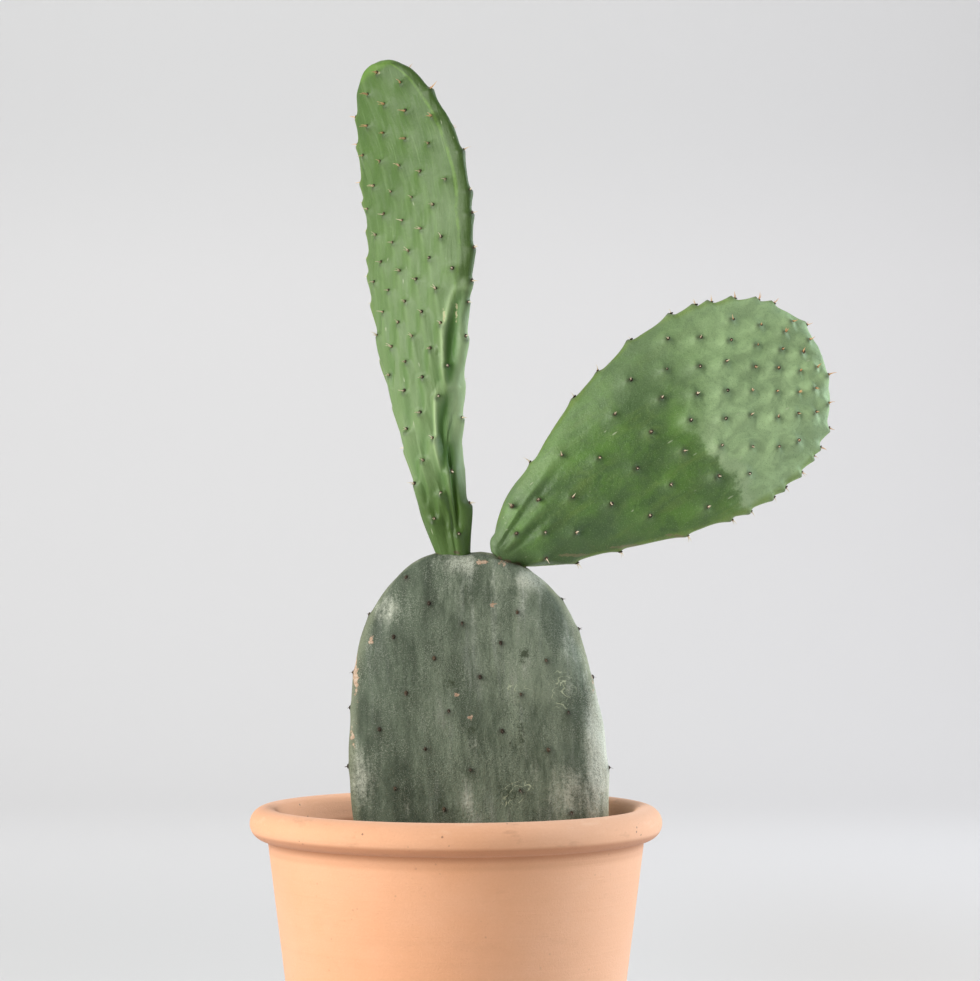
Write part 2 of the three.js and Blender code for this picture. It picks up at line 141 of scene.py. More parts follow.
BROAD_PAD = {
    "node": "broad_pad",
    "centreline": [[9.8, 0, 218.5], [31.4, 1, 236.1], [135.6, 5, 309.2], [175.6, 12, 322.3]],
    "half_width": [
        [0, 3.7], [0.03, 8.9], [0.07, 11.1], [0.13, 17], [0.2, 23.9], [0.27, 28], [0.39, 38.9], [0.51, 47.9],
        [0.63, 52.7], [1, 52.8],
    ],
    "half_thickness": [[0, 6.4], [0.15, 8.2], [0.4, 8.2], [0.7, 6.8], [1, 5.4]],
    "turn": [[0, 0], [1, 6]],
    "squareness": [[0, 3.4], [1, 2.9]],
    "dish": -5,
    "tip": {"from": 0.62, "power": 2.05, "edge": 7},
    "flutes": [
        {"off": [[0.03, 1.55], [0.2, 1.6], [0.33, 1.72]], "reach": 0.05, "height": 0.6},
        {"off": [[0.03, 1.38], [0.18, 1.45], [0.36, 1.6]], "reach": 0.09, "height": -1.1},
        {"off": [[0.04, 1.05], [0.16, 1.18], [0.3, 1.3]], "reach": 0.09, "height": 0.9},
        {"off": [[0.05, 0.8], [0.15, 0.95], [0.26, 1.08]], "reach": 0.09, "height": -0.8},
    ],
    "wave": {"height": 0.5, "length": 34},
    "scars": [[60, 317.8, 12, 1.0, 0.9], [92, 322.2, 18, 1.0, 1], [112, 328, 8, 1.0, 0.9]],
    "areoles": {
        "cushion": 1.2, "first": 0.12, "last": 0.985, "start": 0.3, "hand": 1,
        "spacing": [[0, 12], [0.15, 16], [0.35, 20], [0.5, 19], [0.62, 15.5], [0.8, 13], [1, 10]],
        "height": [[0, 1.6], [0.5, 1.6], [0.62, 2.5], [1, 2.9]],
        "reach": 4.6,
        "tail": [[0, 9], [0.5, 7], [1, 8]],
        "hollow": [[0, 1.2], [0.2, 0.9], [0.4, 0.4], [1, 0.2]],
        "hollow_length": 20,
        "spine": [[0, 3.4], [0.4, 4], [0.6, 3], [0.85, 3.6], [1, 5]],
    },
}

PADS = (OLD_PAD, TALL_PAD, BROAD_PAD)
MARKS = ("areole", "crest", "trail", "sink", "ridge", "across", "share", "joint")
PATCHES = ("bloom", "scars", "stains", "scratches")
WAVES = 12  # crossing waves that make a skin uneven
DISH_BALANCE = 0.35  # a dished pad keeps its place where x squared is this
DISH_WIDTH = 50  # millimetres, the half-width that a dish is given for
DOT_REACH = 1.5  # millimetres, the dark dot under an areole, partly its stain and partly painted shade of its bump
TRAIL_REACH, TRAIL_LENGTH = 1.3, 22  # millimetres, the pale trail that runs down from it
BUMP_FALL, BUMP_ROUNDING = 1.6, 0.01  # how steeply an areole's bump falls, and how round its top is
BUMP_LEVEL = 0.063  # taken off so that the rounded top is still 1 high
LEAN_START, LEAN = 1.0, 3.0  # millimetres, a hollow starts beside its areole and leans away as it climbs
HOLLOW_REACH, HOLLOW_SPREAD = 1.2, 4.5  # millimetres, its half-width at the areole, and what it gains
GROWN_TOGETHER = 2.2  # millimetres over which a joint between two pads fades
EDGE_AREOLE = 0.84  # an areole this far out or further sits on the pad's very edge
ROUND_THE_EDGE = 0.93  # patches on the front reach round the pad's edge from here outwards
TIP_CROWDING = 1.6  # how much closer together the rings are near the tip
EDGE_CROWDING = 0.55  # how much closer together the steps round a pad are near its edges

POT = {
    "height": 190,
    "roll_radius": 8.3,
    "roll_centre_radius": 96.7,
    "roll_end": 0.62,  # half-turns past level, where the roll turns down into the pot
    "tuck": 1.07,  # roll radii under the roll's middle, where the wall ends
    "wall_radius_under_roll": 95.9,
    "foot_radius": 74.2,
    "foot_rounding": 2.5,
    "wall": 7.2,
    "floor": 9,
    "corner": 4,  # how far the bevel between floor and wall reaches
}

SOIL = {
    "level": 160,
    "wall_gap": 0.45,
    "foot": 9.3,
    "bevel": 4.5,  # from the wall to the edge of the soil's flat foot
    "bevel_top": 14,
}

# ---------------------------------------------------------------- what a user would change


def colour_setting(name, description, default):
    return FloatVectorProperty(name=name, description=description, default=default, subtype="COLOR")


def distance_setting(name, description, default, precision=3):
    return FloatProperty(
        name=name, description=description, default=default, subtype="DISTANCE", precision=precision
    )


def power_setting(name, description, default):
    return FloatProperty(name=name, description=description, default=default, subtype="POWER")


class CactusPotSettings(bpy.types.PropertyGroup):
    """The clay pot's make and colour."""

    segments: IntProperty(name="Segments", description="Steps round the pot", default=224, min=24)
    drain_radius: distance_setting("Drain hole", "Radius of each drain hole", 0.006)
    drain_circle: distance_setting("Drain circle", "How far the drain holes are from the middle", 0.034)
    drain_count: IntProperty(name="Drain holes", description="Number of drain holes", default=3, min=0)
    clay: colour_setting("Clay", "Colour of the fired clay", (0.79, 0.395, 0.21))
    damp_clay: colour_setting("Damp clay", "Colour inside the pot", (0.50, 0.27, 0.19))


class CactusSoilSettings(bpy.types.PropertyGroup):
    """The potting mix."""

    grain: distance_setting("Grain", "Size of the largest grit", 0.0026, 4)
    density: FloatProperty(name="Grains per m2", description="How thickly the grit lies", default=190000.0)
    seed: IntProperty(name="Seed", description="Draw of the grit", default=5)
    peat: colour_setting("Peat", "Dark part", (0.035, 0.022, 0.014))
    grit: colour_setting("Grit", "Pale part", (0.42, 0.36, 0.28))


class CactusPlantSettings(bpy.types.PropertyGroup):
    """The pads, areoles and spines."""

    rings: IntProperty(name="Rings", description="Steps along a pad", default=290, min=20)
    around: IntProperty(name="Around", description="Steps round a pad, an even number", default=256, min=24)
    bump: FloatProperty(name="Tubercles", description="Height of the areole bumps, as a share", default=1.0)
    spine_length: FloatProperty(name="Spine length", description="Share of the grown length", default=1.0)
    cushion: distance_setting("Areole", "Half an areole's breadth", 0.00072, 5)
    spines: IntProperty(name="Spines", description="Spines on each areole, at most", default=2, min=1)
    hairs: IntProperty(name="Bristles", description="Fine bristles on each areole, at most", default=4, min=0)
    seed: IntProperty(name="Seed", description="Draw of the spines' directions", default=3)


class CactusColourSettings(bpy.types.PropertyGroup):
    """The colours of the skins."""

    old_green: colour_setting("Old green", "Old pad's skin", (0.150, 0.178, 0.126))
    old_bloom: colour_setting("Old bloom", "Powdery bloom on the old pad", (0.50, 0.52, 0.43))
    cork: colour_setting("Cork", "Corky scars and edges", (0.62, 0.47, 0.35))
    tall_green: colour_setting("Tall pad", "Tall pad's skin", (0.060, 0.128, 0.019))
    tall_pale: colour_setting("Tall pad, pale", "Its paler streaks", (0.160, 0.252, 0.095))
    broad_green: colour_setting("Broad pad", "Broad pad's glossy skin", (0.080, 0.150, 0.040))
    broad_bloom: colour_setting("Broad pad, bloom", "Its pale outer part", (0.300, 0.430, 0.215))
    young_edge: colour_setting("Edge", "Yellow-green edges", (0.175, 0.275, 0.055))


class CactusStageSettings(bpy.types.PropertyGroup):
    """The camera and the light."""

    camera_distance: distance_setting("Camera distance", "From the pot's axis", 1.85)
    camera_aside: distance_setting("Camera aside", "To the right of the pot's axis", 0.0173, 4)
    camera_height: distance_setting("Camera height", "Over the table", 0.3507, 4)
    lens: FloatProperty(name="Lens", description="Focal length", default=133.3, subtype="DISTANCE_CAMERA")
    key_power: power_setting("Key light", "Left softbox", 50.0)
    fill_power: power_setting("Fill light", "Right softbox", 40.5)
    paper_power: power_setting("Paper light", "Softbox over the paper", 27.0)
    air: FloatProperty(name="Air", description="Strength of the even light from all round", default=0.322)


SETTINGS = {
    "cactus_pot": CactusPotSettings,
    "cactus_soil": CactusSoilSettings,
    "cactus_plant": CactusPlantSettings,
    "cactus_colours": CactusColourSettings,
    "cactus_stage": CactusStageSettings,
}

# ---------------------------------------------------------------- node trees as sums


class Field:
    """One output of a node. A sum on it adds a Math node to its tree."""

    def __init__(self, graph, socket):
        self.graph = graph
        self.socket = socket

    def __add__(self, other):
        return self.graph.math("ADD", self, other)

    __radd__ = __add__

    def __sub__(self, other):
        return self.graph.math("SUBTRACT", self, other)

    def __rsub__(self, other):
        return self.graph.math("SUBTRACT", other, self)

    def __mul__(self, other):
        return self.graph.math("MULTIPLY", self, other)

    __rmul__ = __mul__

    def __pow__(self, other):
        return self.graph.math("POWER", self, other)


class Graph:
    """A node tree being built: `node` makes any node and returns one of its outputs."""

    def __init__(self, tree):
        self.tree = tree

    def node(self, kind, settings=None, inputs=None, output=0):
        made = self.tree.nodes.new(kind)
        for name, value in (settings or {}).items():
            setattr(made, name, value)
        for name, value in (inputs or {}).items():
            self.feed(made.inputs[name], value)
        return Field(self, made.outputs[output])

    def feed(self, socket, value):
        if isinstance(value, Field):
            self.tree.links.new(value.socket, socket)
        else:
            socket.default_value = value

    def math(self, operation, a, b=0.0):
        return self.node("ShaderNodeMath", {"operation": operation}, {0: a, 1: b})

    def parts(self, vector):
        split = self.tree.nodes.new("ShaderNodeSeparateXYZ")
        self.feed(split.inputs[0], vector)
        return [Field(self, out) for out in split.outputs]


class Finish(Graph):
    """A material's tree, ending in a Principled BSDF. Its base colour is painted on in layers."""

    def __init__(self, name, ground):
        self.base = ground
        self.material = bpy.data.materials.new(name)
        self.material.use_nodes = True
        super().__init__(self.material.node_tree)
        self.shader = next(n for n in self.tree.nodes if n.type == "BSDF_PRINCIPLED")

    def place(self):
        return self.node("ShaderNodeTexCoord", output="Object")

    def attribute(self, name, output="Fac"):
        return self.node("ShaderNodeAttribute", {"attribute_name": name}, output=output)

    def stretched(self, vector, scale):
        return self.node("ShaderNodeMapping", inputs={"Vector": vector, "Scale": scale})

    def noise(self, vector, scale, detail=3.0, roughness=0.5, distortion=0.0):
        inputs = {"Vector": vector, "Scale": scale, "Detail": detail}
        inputs |= {"Roughness": roughness, "Distortion": distortion}
        return self.node("ShaderNodeTexNoise", inputs=inputs)

    def cells(self, vector, scale):
        """Distance from the nearest of points that are strewn evenly."""
        return self.node("ShaderNodeTexVoronoi", inputs={"Vector": vector, "Scale": scale}, output="Distance")

    def between(self, value, low, high, top=1.0, bottom=0.0):
        """Goes smoothly from bottom to top as value goes from low to high."""
        inputs = {"Value": value, "From Min": low, "From Max": high, "To Min": bottom, "To Max": top}
        return self.node("ShaderNodeMapRange", {"interpolation_type": "SMOOTHSTEP"}, inputs)

    def mix(self, share, under, over, blend="MIX"):
        under = under if isinstance(under, Field) else (*under, 1.0)
        over = over if isinstance(over, Field) else (*over, 1.0)
        settings = {"data_type": "RGBA", "blend_type": blend, "clamp_factor": True}
        return self.node("ShaderNodeMix", settings, {0: share, 6: under, 7: over}, 2)

    def paint(self, share, colour, factor=1.0, blend="MIX"):
        """Lays a colour, made lighter or darker, over what is painted already, as far as share says."""
        colour = colour if isinstance(colour, Field) else shaded(colour, factor)
        self.base = self.mix(share, self.base, colour, blend)

    def bump(self, height, distance, under=None):
        inputs = {"Height": height, "Distance": distance, "Strength": 1.0}
        if under is not None:
            inputs["Normal"] = under
        return self.node("ShaderNodeBump", inputs=inputs)

    def finished(self, **sockets):
        """The material, with its base colour and the given sockets set."""
        for name, value in {"Base_Color": self.base, **sockets}.items():
            self.feed(self.shader.inputs[name.replace("_", " ")], value)
        return self.material


class Modelling(Graph):
    """A Geometry Nodes tree with named inputs."""

    KINDS = {"FLOAT": "NodeSocketFloat", "INT": "NodeSocketInt", "MATERIAL": "NodeSocketMaterial"}

    def __init__(self, name, inputs):
        tree = bpy.data.node_groups.new(name, "GeometryNodeTree")
        super().__init__(tree)
        tree.interface.new_socket("Geometry", in_out="OUTPUT", socket_type="NodeSocketGeometry")
        tree.interface.new_socket("Geometry", in_out="INPUT", socket_type="NodeSocketGeometry")
        self.identifiers = {}
        for label, kind in inputs.items():
            made = tree.interface.new_socket(label, in_out="INPUT", socket_type=self.KINDS[kind])
            self.identifiers[label] = made.identifier
        self.source = tree.nodes.new("NodeGroupInput")
        self.sink = tree.nodes.new("NodeGroupOutput")

    def given(self, label):
        return Field(self, self.source.outputs[label])

    def named(self, name, kind="FLOAT"):
        return self.node("GeometryNodeInputNamedAttribute", {"data_type": kind}, {"Name": name})

    def drawn(self, low, high, seed):
        """A seeded number for each element."""
        return self.node("FunctionNodeRandomValue", {"data_type": "FLOAT"}, {2: low, 3: high, 8: seed}, 1)

    def vector(self, x, y, z):
        return self.node("ShaderNodeCombineXYZ", inputs={0: x, 1: y, 2: z})

    def store(self, geometry, name, value, domain="POINT"):
        inputs = {"Geometry": geometry, "Name": name, "Value": value}
        return self.node("GeometryNodeStoreNamedAttribute", {"data_type": "FLOAT", "domain": domain}, inputs)

    def strewn(self, points, instance, rotation, scale, seed):
        """A copy of the instance on every point, each with its own tone for the material."""
        inputs = {"Points": points, "Instance": instance, "Rotation": rotation, "Scale": scale}
        copies = self.node("GeometryNodeInstanceOnPoints", inputs=inputs)
        return self.store(copies, "tone", self.drawn(0.0, 1.0, seed), "INSTANCE")

    def finish(self, geometry):
        """Ends the tree with real meshes in the given material."""
        real = self.node("GeometryNodeRealizeInstances", inputs={"Geometry": geometry})
        inputs = {"Geometry": real, "Material": self.given("Material")}
        self.feed(self.sink.inputs[0], self.node("GeometryNodeSetMaterial", inputs=inputs))
        return self


def placed(name, data):
    """A new object in the scene."""
    made = bpy.data.objects.new(name, data)
    bpy.context.scene.collection.objects.link(made)
    return made


def grown(seed_object, modelling, name, values):
    """Runs a Geometry Nodes tree on an object, and returns its result as a plain mesh object."""
    modifier = seed_object.modifiers.new(name, "NODES")
    modifier.node_group = modelling.tree
    for label, value in values.items():
        modifier[modelling.identifiers[label]] = value
    evaluated = seed_object.evaluated_get(bpy.context.evaluated_depsgraph_get())
    mesh = bpy.data.meshes.new_from_object(evaluated)
    if not mesh.vertices:
        raise RuntimeError(f"{name} came out empty")
    mesh.name = name
    result = placed(name, mesh)
    seed_object.modifiers.remove(modifier)
    bpy.data.objects.remove(seed_object)
    return result


# ---------------------------------------------------------------- the pads' shape


def drawn_number(n, k):
    """A repeatable number from 0 to 1 for each pair of whole numbers."""
    value = math.sin(n * 12.9898 + k * 78.233) * 43758.5453
    return value - math.floor(value)


def through(knots, s):
    """The value at s of a smooth curve through the knots."""
    at, value = np.array(knots, float).T
    s = np.asarray(s, float)
    last = len(at) - 1
    i = np.clip(np.searchsorted(at, s) - 1, 0, last - 1)
    before = np.maximum(i - 1, 0)
    after = np.minimum(i + 2, last)
    span = at[i + 1] - at[i]
    m0 = (value[i + 1] - value[before]) / (at[i + 1] - at[before]) * span
    m1 = (value[after] - value[i]) / (at[after] - at[i]) * span
    t = np.clip((s - at[i]) / span, 0, 1)
    low = value[i] * (2 * t**3 - 3 * t**2 + 1) + m0 * (t**3 - 2 * t**2 + t)
    return low + value[i + 1] * (3 * t**2 - 2 * t**3) + m1 * (t**3 - t**2)


def rounded_end(t, power):
    return (1 - np.clip(t, 0, 1) ** power) ** (1 / power)


def end_share(pad, s, measure):
    """How much of its full breadth ("power") or thickness ("edge") the pad has at s."""
    tip = pad["tip"]
    share = rounded_end((s - tip["from"]) / (1 - tip["from"]), tip[measure])
    if "foot" in pad:
        foot = pad["foot"]
        share = share * rounded_end((foot["to"] - s) / foot["to"], foot[measure])
    return share


def half_width(pad, s):
    return through(pad["half_width"], s) * end_share(pad, s, "power")


def unit(v):
    return v / np.linalg.norm(v, axis=-1, keepdims=True)


def axes(pad, s):
    """The pad's middle at s, and the ways that its length, breadth and face point there."""
    c = np.array(pad["centreline"], float) + PLANT_FOOT
    t = np.asarray(s, float)[..., None]
    middle = (1 - t) ** 3 * c[0] + 3 * (1 - t) ** 2 * t * c[1] + 3 * (1 - t) * t**2 * c[2] + t**3 * c[3]
    slope = (1 - t) ** 2 * (c[1] - c[0]) + 2 * (1 - t) * t * (c[2] - c[1]) + t**2 * (c[3] - c[2])
    along = unit(slope)
    level = unit(np.cross(along, np.array([0.0, -1.0, 0.0])))
    turn = -np.radians(through(pad["turn"], s))[..., None]
    across = level * np.cos(turn) + np.cross(along, level) * np.sin(turn)
    return middle, along, across, unit(np.cross(across, along))


def lens_share(pad, s, x):
    """How much of its full thickness the pad's cross-section has at x."""
    return np.sqrt(np.maximum(0, 1 - np.abs(x) ** through(pad["squareness"], s)))


def skin(pad, s, x, side):
    """Points of the pad's smooth skin, s along it and x from -1 to 1 across its front or back."""
    middle, _, across, face = axes(pad, s)
    width = half_width(pad, s)
    thickness = through(pad["half_thickness"], s) * end_share(pad, s, "edge")
    bend = pad["dish"] * (x * x - DISH_BALANCE) * (width / DISH_WIDTH)
    out = side * thickness * lens_share(pad, s, x) + bend
    return middle + across * (x * width)[..., None] + face * out[..., None]


def stem_length(pad):
    middle = axes(pad, np.linspace(0, 1, 201))[0]
    return np.linalg.norm(np.diff(middle, axis=0), axis=1).sum()


def areoles_of(pad):
    """The spiral of areoles, each a golden share of a turn round the flattened stem from the last."""
    rule = pad["areoles"]
    length = stem_length(pad)
    found = []
    s = rule["first"]
    n = 0
    while s < rule["last"]:
        round_ = (rule["start"] + rule["hand"] * n * GOLDEN_SHARE) % 1
        side = 1 if round_ < 0.5 else -1
        x = (1 - 4 * round_ if side > 0 else 4 * round_ - 3) + (drawn_number(n, 1) - 0.5) * 0.06
        if abs(x) > EDGE_AREOLE:
            x = math.copysign(1, x)
        place = skin(pad, np.array(s), np.array(x), side)
        seats = rule.get("bare", ())
        if not any(np.linalg.norm(place - PLANT_FOOT - at) < radius for at, radius in seats):
            found.append((s, x, side))
        patch = HEXAGON_SHARE * float(through(rule["spacing"], s)) ** 2
        s += patch / (4 * float(half_width(pad, s)) * length)
        n += 1
    return np.array(found).T


def waves(pad, flat):
    """Slow unevenness of the skin, from crossing waves."""
    rise = np.zeros(flat.shape[:-1])
    for n in range(WAVES):
        angle = drawn_number(n, 5) * 2 * math.pi
        pitch = pad["wave"]["length"] * (0.45 + drawn_number(n, 6))
        phase = drawn_number(n, 7) * 2 * math.pi
        run = flat[..., 0] * math.cos(angle) + flat[..., 1] * math.sin(angle) + flat[..., 2] * 3
        rise += np.sin(2 * math.pi * run / pitch + phase) * pitch / pad["wave"]["length"]
    return rise * pad["wave"]["height"] / 4


def flute_rise(pad, s, x, side):
    off = side * (1 - x)
    rise = np.zeros(np.broadcast(s, x).shape)
    for flute in pad.get("flutes", ()):
        first, last = flute["off"][0][0], flute["off"][-1][0]
        share = np.clip((s - first) / (last - first), 0, 1)
        across = (off - through(flute["off"], s)) / flute["reach"]
        rise += flute["height"] * np.sin(math.pi * share) ** 0.8 * np.exp(-across * across)
    return rise


def patches(pad, kind, points, x, side):
    """Strength of the pad's measured patches of one kind, on its front only."""
    field = np.zeros(x.shape)
    for at_x, at_z, reach_x, reach_z, amount in pad.get(kind, ()):
        away = ((points[..., 0] - at_x) / reach_x) ** 2 + ((points[..., 2] - at_z) / reach_z) ** 2
        field = np.maximum(field, amount * np.exp(-away))
    return field * ((side > 0) | (np.abs(x) > ROUND_THE_EDGE))


def joint_with(pad, smooth):
    """How near each point is to the pads that this one has grown together with, 1 at the joint itself."""
    partners = PADS[1:] if pad is OLD_PAD else PADS[:1]
    s, x = np.meshgrid(np.linspace(0.002, 0.998, 160), np.linspace(-1, 1, 90), indexing="ij")
    skins = [skin(other, s, x, side) for other in partners for side in (1, -1)]
    cloud = np.concatenate(skins).reshape(-1, 3)
    tree = KDTree(len(cloud))
    for i, point in enumerate(cloud):
        tree.insert(point, i)
    tree.balance()
    near = np.array([tree.find(point)[2] for point in smooth.reshape(-1, 3)])
    return np.exp(-((near / GROWN_TOGETHER) ** 2)).reshape(smooth.shape[:-1])


def grid_of(settings):
    """Shares of the length, and places round the flattened stem with their sides, of a pad's mesh."""
    even = np.arange(1, settings.rings) / settings.rings
    s = 1 - (1 - even * (1 + even) / 2) ** TIP_CROWDING
    j = np.arange(settings.around)
    side = np.where(j < settings.around / 2, 1.0, -1.0)
    q = np.where(side > 0, 1 - 4 * j / settings.around, 4 * j / settings.around - 3)
    x = (1 - EDGE_CROWDING) * q + EDGE_CROWDING * np.sin(math.pi / 2 * q)
    s2, x2 = np.meshgrid(s, x, indexing="ij")
    return s2, x2, np.broadcast_to(side, s2.shape)


def outward_of(pad, smooth, s):
    lengthwise = np.gradient(smooth, axis=0)
    crosswise = np.roll(smooth, -1, axis=1) - np.roll(smooth, 1, axis=1)
    outward = unit(np.cross(lengthwise, crosswise))
    return outward * np.sign(((smooth - axes(pad, s)[0]) * outward).sum())


def tubercles(pad, smooth, sites, share):
    """Bumps with tails that run down the pad, the hollows above them, and marks for the material."""
    rule = pad["areoles"]
    places = skin(pad, *sites)
    _, along, across, _ = axes(pad, sites[0])
    tail, height = through(rule["tail"], sites[0]), through(rule["height"], sites[0]) * share
    depth = through(rule["hollow"], sites[0]) * (np.abs(sites[1]) < EDGE_AREOLE)
    marks = {label: np.zeros(smooth.shape[:-1]) for label in ("rise", "sink", "areole", "trail", "crest")}
    for k, place in enumerate(places):
        offset = smooth - place
        up = offset @ along[k]
        aside = np.sqrt(np.maximum(0, (offset**2).sum(-1) - up * up))
        distance = np.hypot(up / np.where(up > 0, rule["reach"] * 0.5, tail[k]), aside / rule["reach"])
        bump = np.exp(-BUMP_FALL * ((distance**2 + BUMP_ROUNDING) ** 0.6 - BUMP_LEVEL))
        marks["rise"] = np.maximum(marks["rise"], height[k] * bump)
        marks["crest"] = np.maximum(marks["crest"], bump)
        dot = np.exp(-((aside / DOT_REACH) ** 2) - ((up / DOT_REACH) ** 2))
        marks["areole"] = np.maximum(marks["areole"], dot)
        below = np.exp(np.minimum(up, 0) / TRAIL_LENGTH) * (up < 0.5)
        marks["trail"] = np.maximum(marks["trail"], below * np.exp(-((aside / TRAIL_REACH) ** 2)))
        if depth[k] > 0:
            climb = np.clip(up / rule["hollow_length"], 0, 1)
            middle = LEAN_START + LEAN * climb
            away = (offset @ across[k] - middle) / (HOLLOW_REACH + HOLLOW_SPREAD * climb)
            wedge = np.sin(math.pi * climb**0.5) * np.exp(-away * away) * (aside < 14)
            marks["sink"] = np.maximum(marks["sink"], depth[k] * wedge)
    return marks


def pad_form(pad, settings):
    """The pad's finished skin on a grid of rings, with what its material needs to know at each point."""
    s, x, side = grid_of(settings)
    smooth = skin(pad, s, x, side)
    outward = outward_of(pad, smooth, s)
    thickness = through(pad["half_thickness"], s) * lens_share(pad, s, x)
    flat = np.stack([x * half_width(pad, s), s * stem_length(pad), side * thickness], axis=-1)
    sites = areoles_of(pad)
    marks = tubercles(pad, smooth, sites, settings.bump)
    flutes = flute_rise(pad, s, x, side)
    rise = marks["rise"] - marks["sink"] + flutes + waves(pad, flat)
    attributes = {
        "flat": flat * MM,
        "areole": marks["areole"],
        "crest": marks["crest"],
        "trail": marks["trail"],
        "sink": np.clip((marks["sink"] - np.minimum(flutes, 0)) / 1.6, 0, 1),
        "ridge": np.clip(flutes, 0, 1),
        "across": x,
        "share": s,
        "joint": joint_with(pad, smooth),
    }
    for kind in PATCHES:
        attributes[kind] = patches(pad, kind, smooth, x, side)
    return {
        "points": smooth + outward * rise[..., None],
        "outward": outward,
        "foot": axes(pad, np.array(0.0))[0],
        "tip": skin(pad, np.array(1.0), np.array(0.0), 1.0),
        "sites": sites,
        "site_place": skin(pad, *sites),
        "attributes": attributes,
    }


def ring_mesh(name, rings, foot, tip, attributes):
    """A closed mesh over rings of points, with a pole at each end."""
    count, around = rings.shape[:2]
    points = np.vstack([foot[None], rings.reshape(-1, 3), tip[None]]) * MM
    faces = []
    last = len(points) - 1
    for j in range(around):
        k = (j + 1) % around
        faces.append((0, 1 + j, 1 + k))
        faces.append((last, 1 + (count - 1) * around + k, 1 + (count - 1) * around + j))
    base = (np.arange(count - 1) * around)[:, None] + 1
    j = np.arange(around)[None]
    k = (j + 1) % around
    quads = np.stack([base + j, base + around + j, base + around + k, base + k], axis=-1).reshape(-1, 4)
    faces.extend(map(tuple, quads.tolist()))
    mesh = bpy.data.meshes.new(name)
    mesh.from_pydata(points.tolist(), [], faces)
    for label, grid in attributes.items():
        flat = grid.reshape(-1, 3) if grid.ndim == 3 else grid.reshape(-1)
        write(mesh, label, np.concatenate([flat[:1], flat, flat[-1:]]))
    mesh.update()
    turn_outwards(mesh)
    return placed(name, mesh)


def write(mesh, label, values):
    """Keeps one number or vector for each point of the mesh."""
    vector = values.ndim == 2
    made = mesh.attributes.new(label, "FLOAT_VECTOR" if vector else "FLOAT", "POINT")
    made.data.foreach_set("vector" if vector else "value", values.astype(np.float32).ravel())


def turn_outwards(mesh):
    """Smooth shading, with every face pointing out of the body."""
    mesh.calc_loop_triangles()
    points = np.empty(len(mesh.vertices) * 3)
    mesh.vertices.foreach_get("co", points)
    corners = np.empty(len(mesh.loop_triangles) * 3, int)
    mesh.loop_triangles.foreach_get("vertices", corners)
    a, b, c = points.reshape(-1, 3)[corners.reshape(-1, 3)].transpose(1, 0, 2)
    if (a * np.cross(b, c)).sum() < 0:
        mesh.flip_normals()
    mesh.shade_smooth()


def site_cloud(name, pad, form):
    """The pad's areoles as loose points that know which way is out and how long their spines are."""
    points = form["points"].reshape(-1, 3)
    outward = form["outward"].reshape(-1, 3)
    nearest = [int(np.argmin(((form["points"] - place) ** 2).sum(-1))) for place in form["site_place"]]
    along = axes(pad, form["sites"][0])[1]
    length = through(pad["areoles"]["spine"], form["sites"][0])
    mesh = bpy.data.meshes.new(name)
    mesh.from_pydata((points[nearest] * MM).tolist(), [], [])
    age = 1 - form["sites"][0]
    facts = {"outward": outward[nearest], "uphill": along, "grown": length * MM, "age": age}
    for label, values in facts.items():
        write(mesh, label, values)
    return placed(name, mesh)


# ---------------------------------------------------------------- Geometry Nodes trees


def along_outward(tree):
    """Turns a piece's Z out of the skin and its Y towards the pad's tip."""
    upright = tree.node(
        "FunctionNodeAlignRotationToVector", {"axis": "Z"}, {"Vector": tree.named("outward", "FLOAT_VECTOR")}
    )
    return tree.node(
        "FunctionNodeAlignRotationToVector",
        {"axis": "Y", "pivot_axis": "Z"},
        {"Rotation": upright, "Vector": tree.named("uphill", "FLOAT_VECTOR")},
    )


def cushion_tree():
    """A low felted cushion on every areole."""
    tree = Modelling("areole_cushions", {"Size": "FLOAT", "Seed": "INT", "Material": "MATERIAL"})
    bead = tree.node("GeometryNodeMeshUVSphere", inputs={"Segments": 9, "Rings": 5, "Radius": 1.0})
    size = tree.given("Size") * tree.drawn(0.75, 1.25, tree.given("Seed"))
    scale = tree.vector(size, size * 1.35, size * 0.55)
    beads = tree.strewn(tree.given("Geometry"), bead, along_outward(tree), scale, 11)
    return tree.finish(tree.node("GeometryNodeSetShadeSmooth", inputs={"Geometry": beads}))


def needle(tree, sides, steps, bend):
    """A curved needle one unit long with its point up, its root a little under the ground."""
    shape = {"Vertices": sides, "Side Segments": steps, "Depth": 1.0}
    shape |= {"Radius Top": 0.004, "Radius Bottom": 0.055}
    cone = tree.node("GeometryNodeMeshCone", inputs=shape)
    z = tree.parts(tree.node("GeometryNodeInputPosition"))[2]
    offset = tree.vector(0.0, z * z * bend, -0.12)
    bent = tree.node("GeometryNodeSetPosition", inputs={"Geometry": cone, "Offset": offset})
    return tree.store(bent, "reach", z)


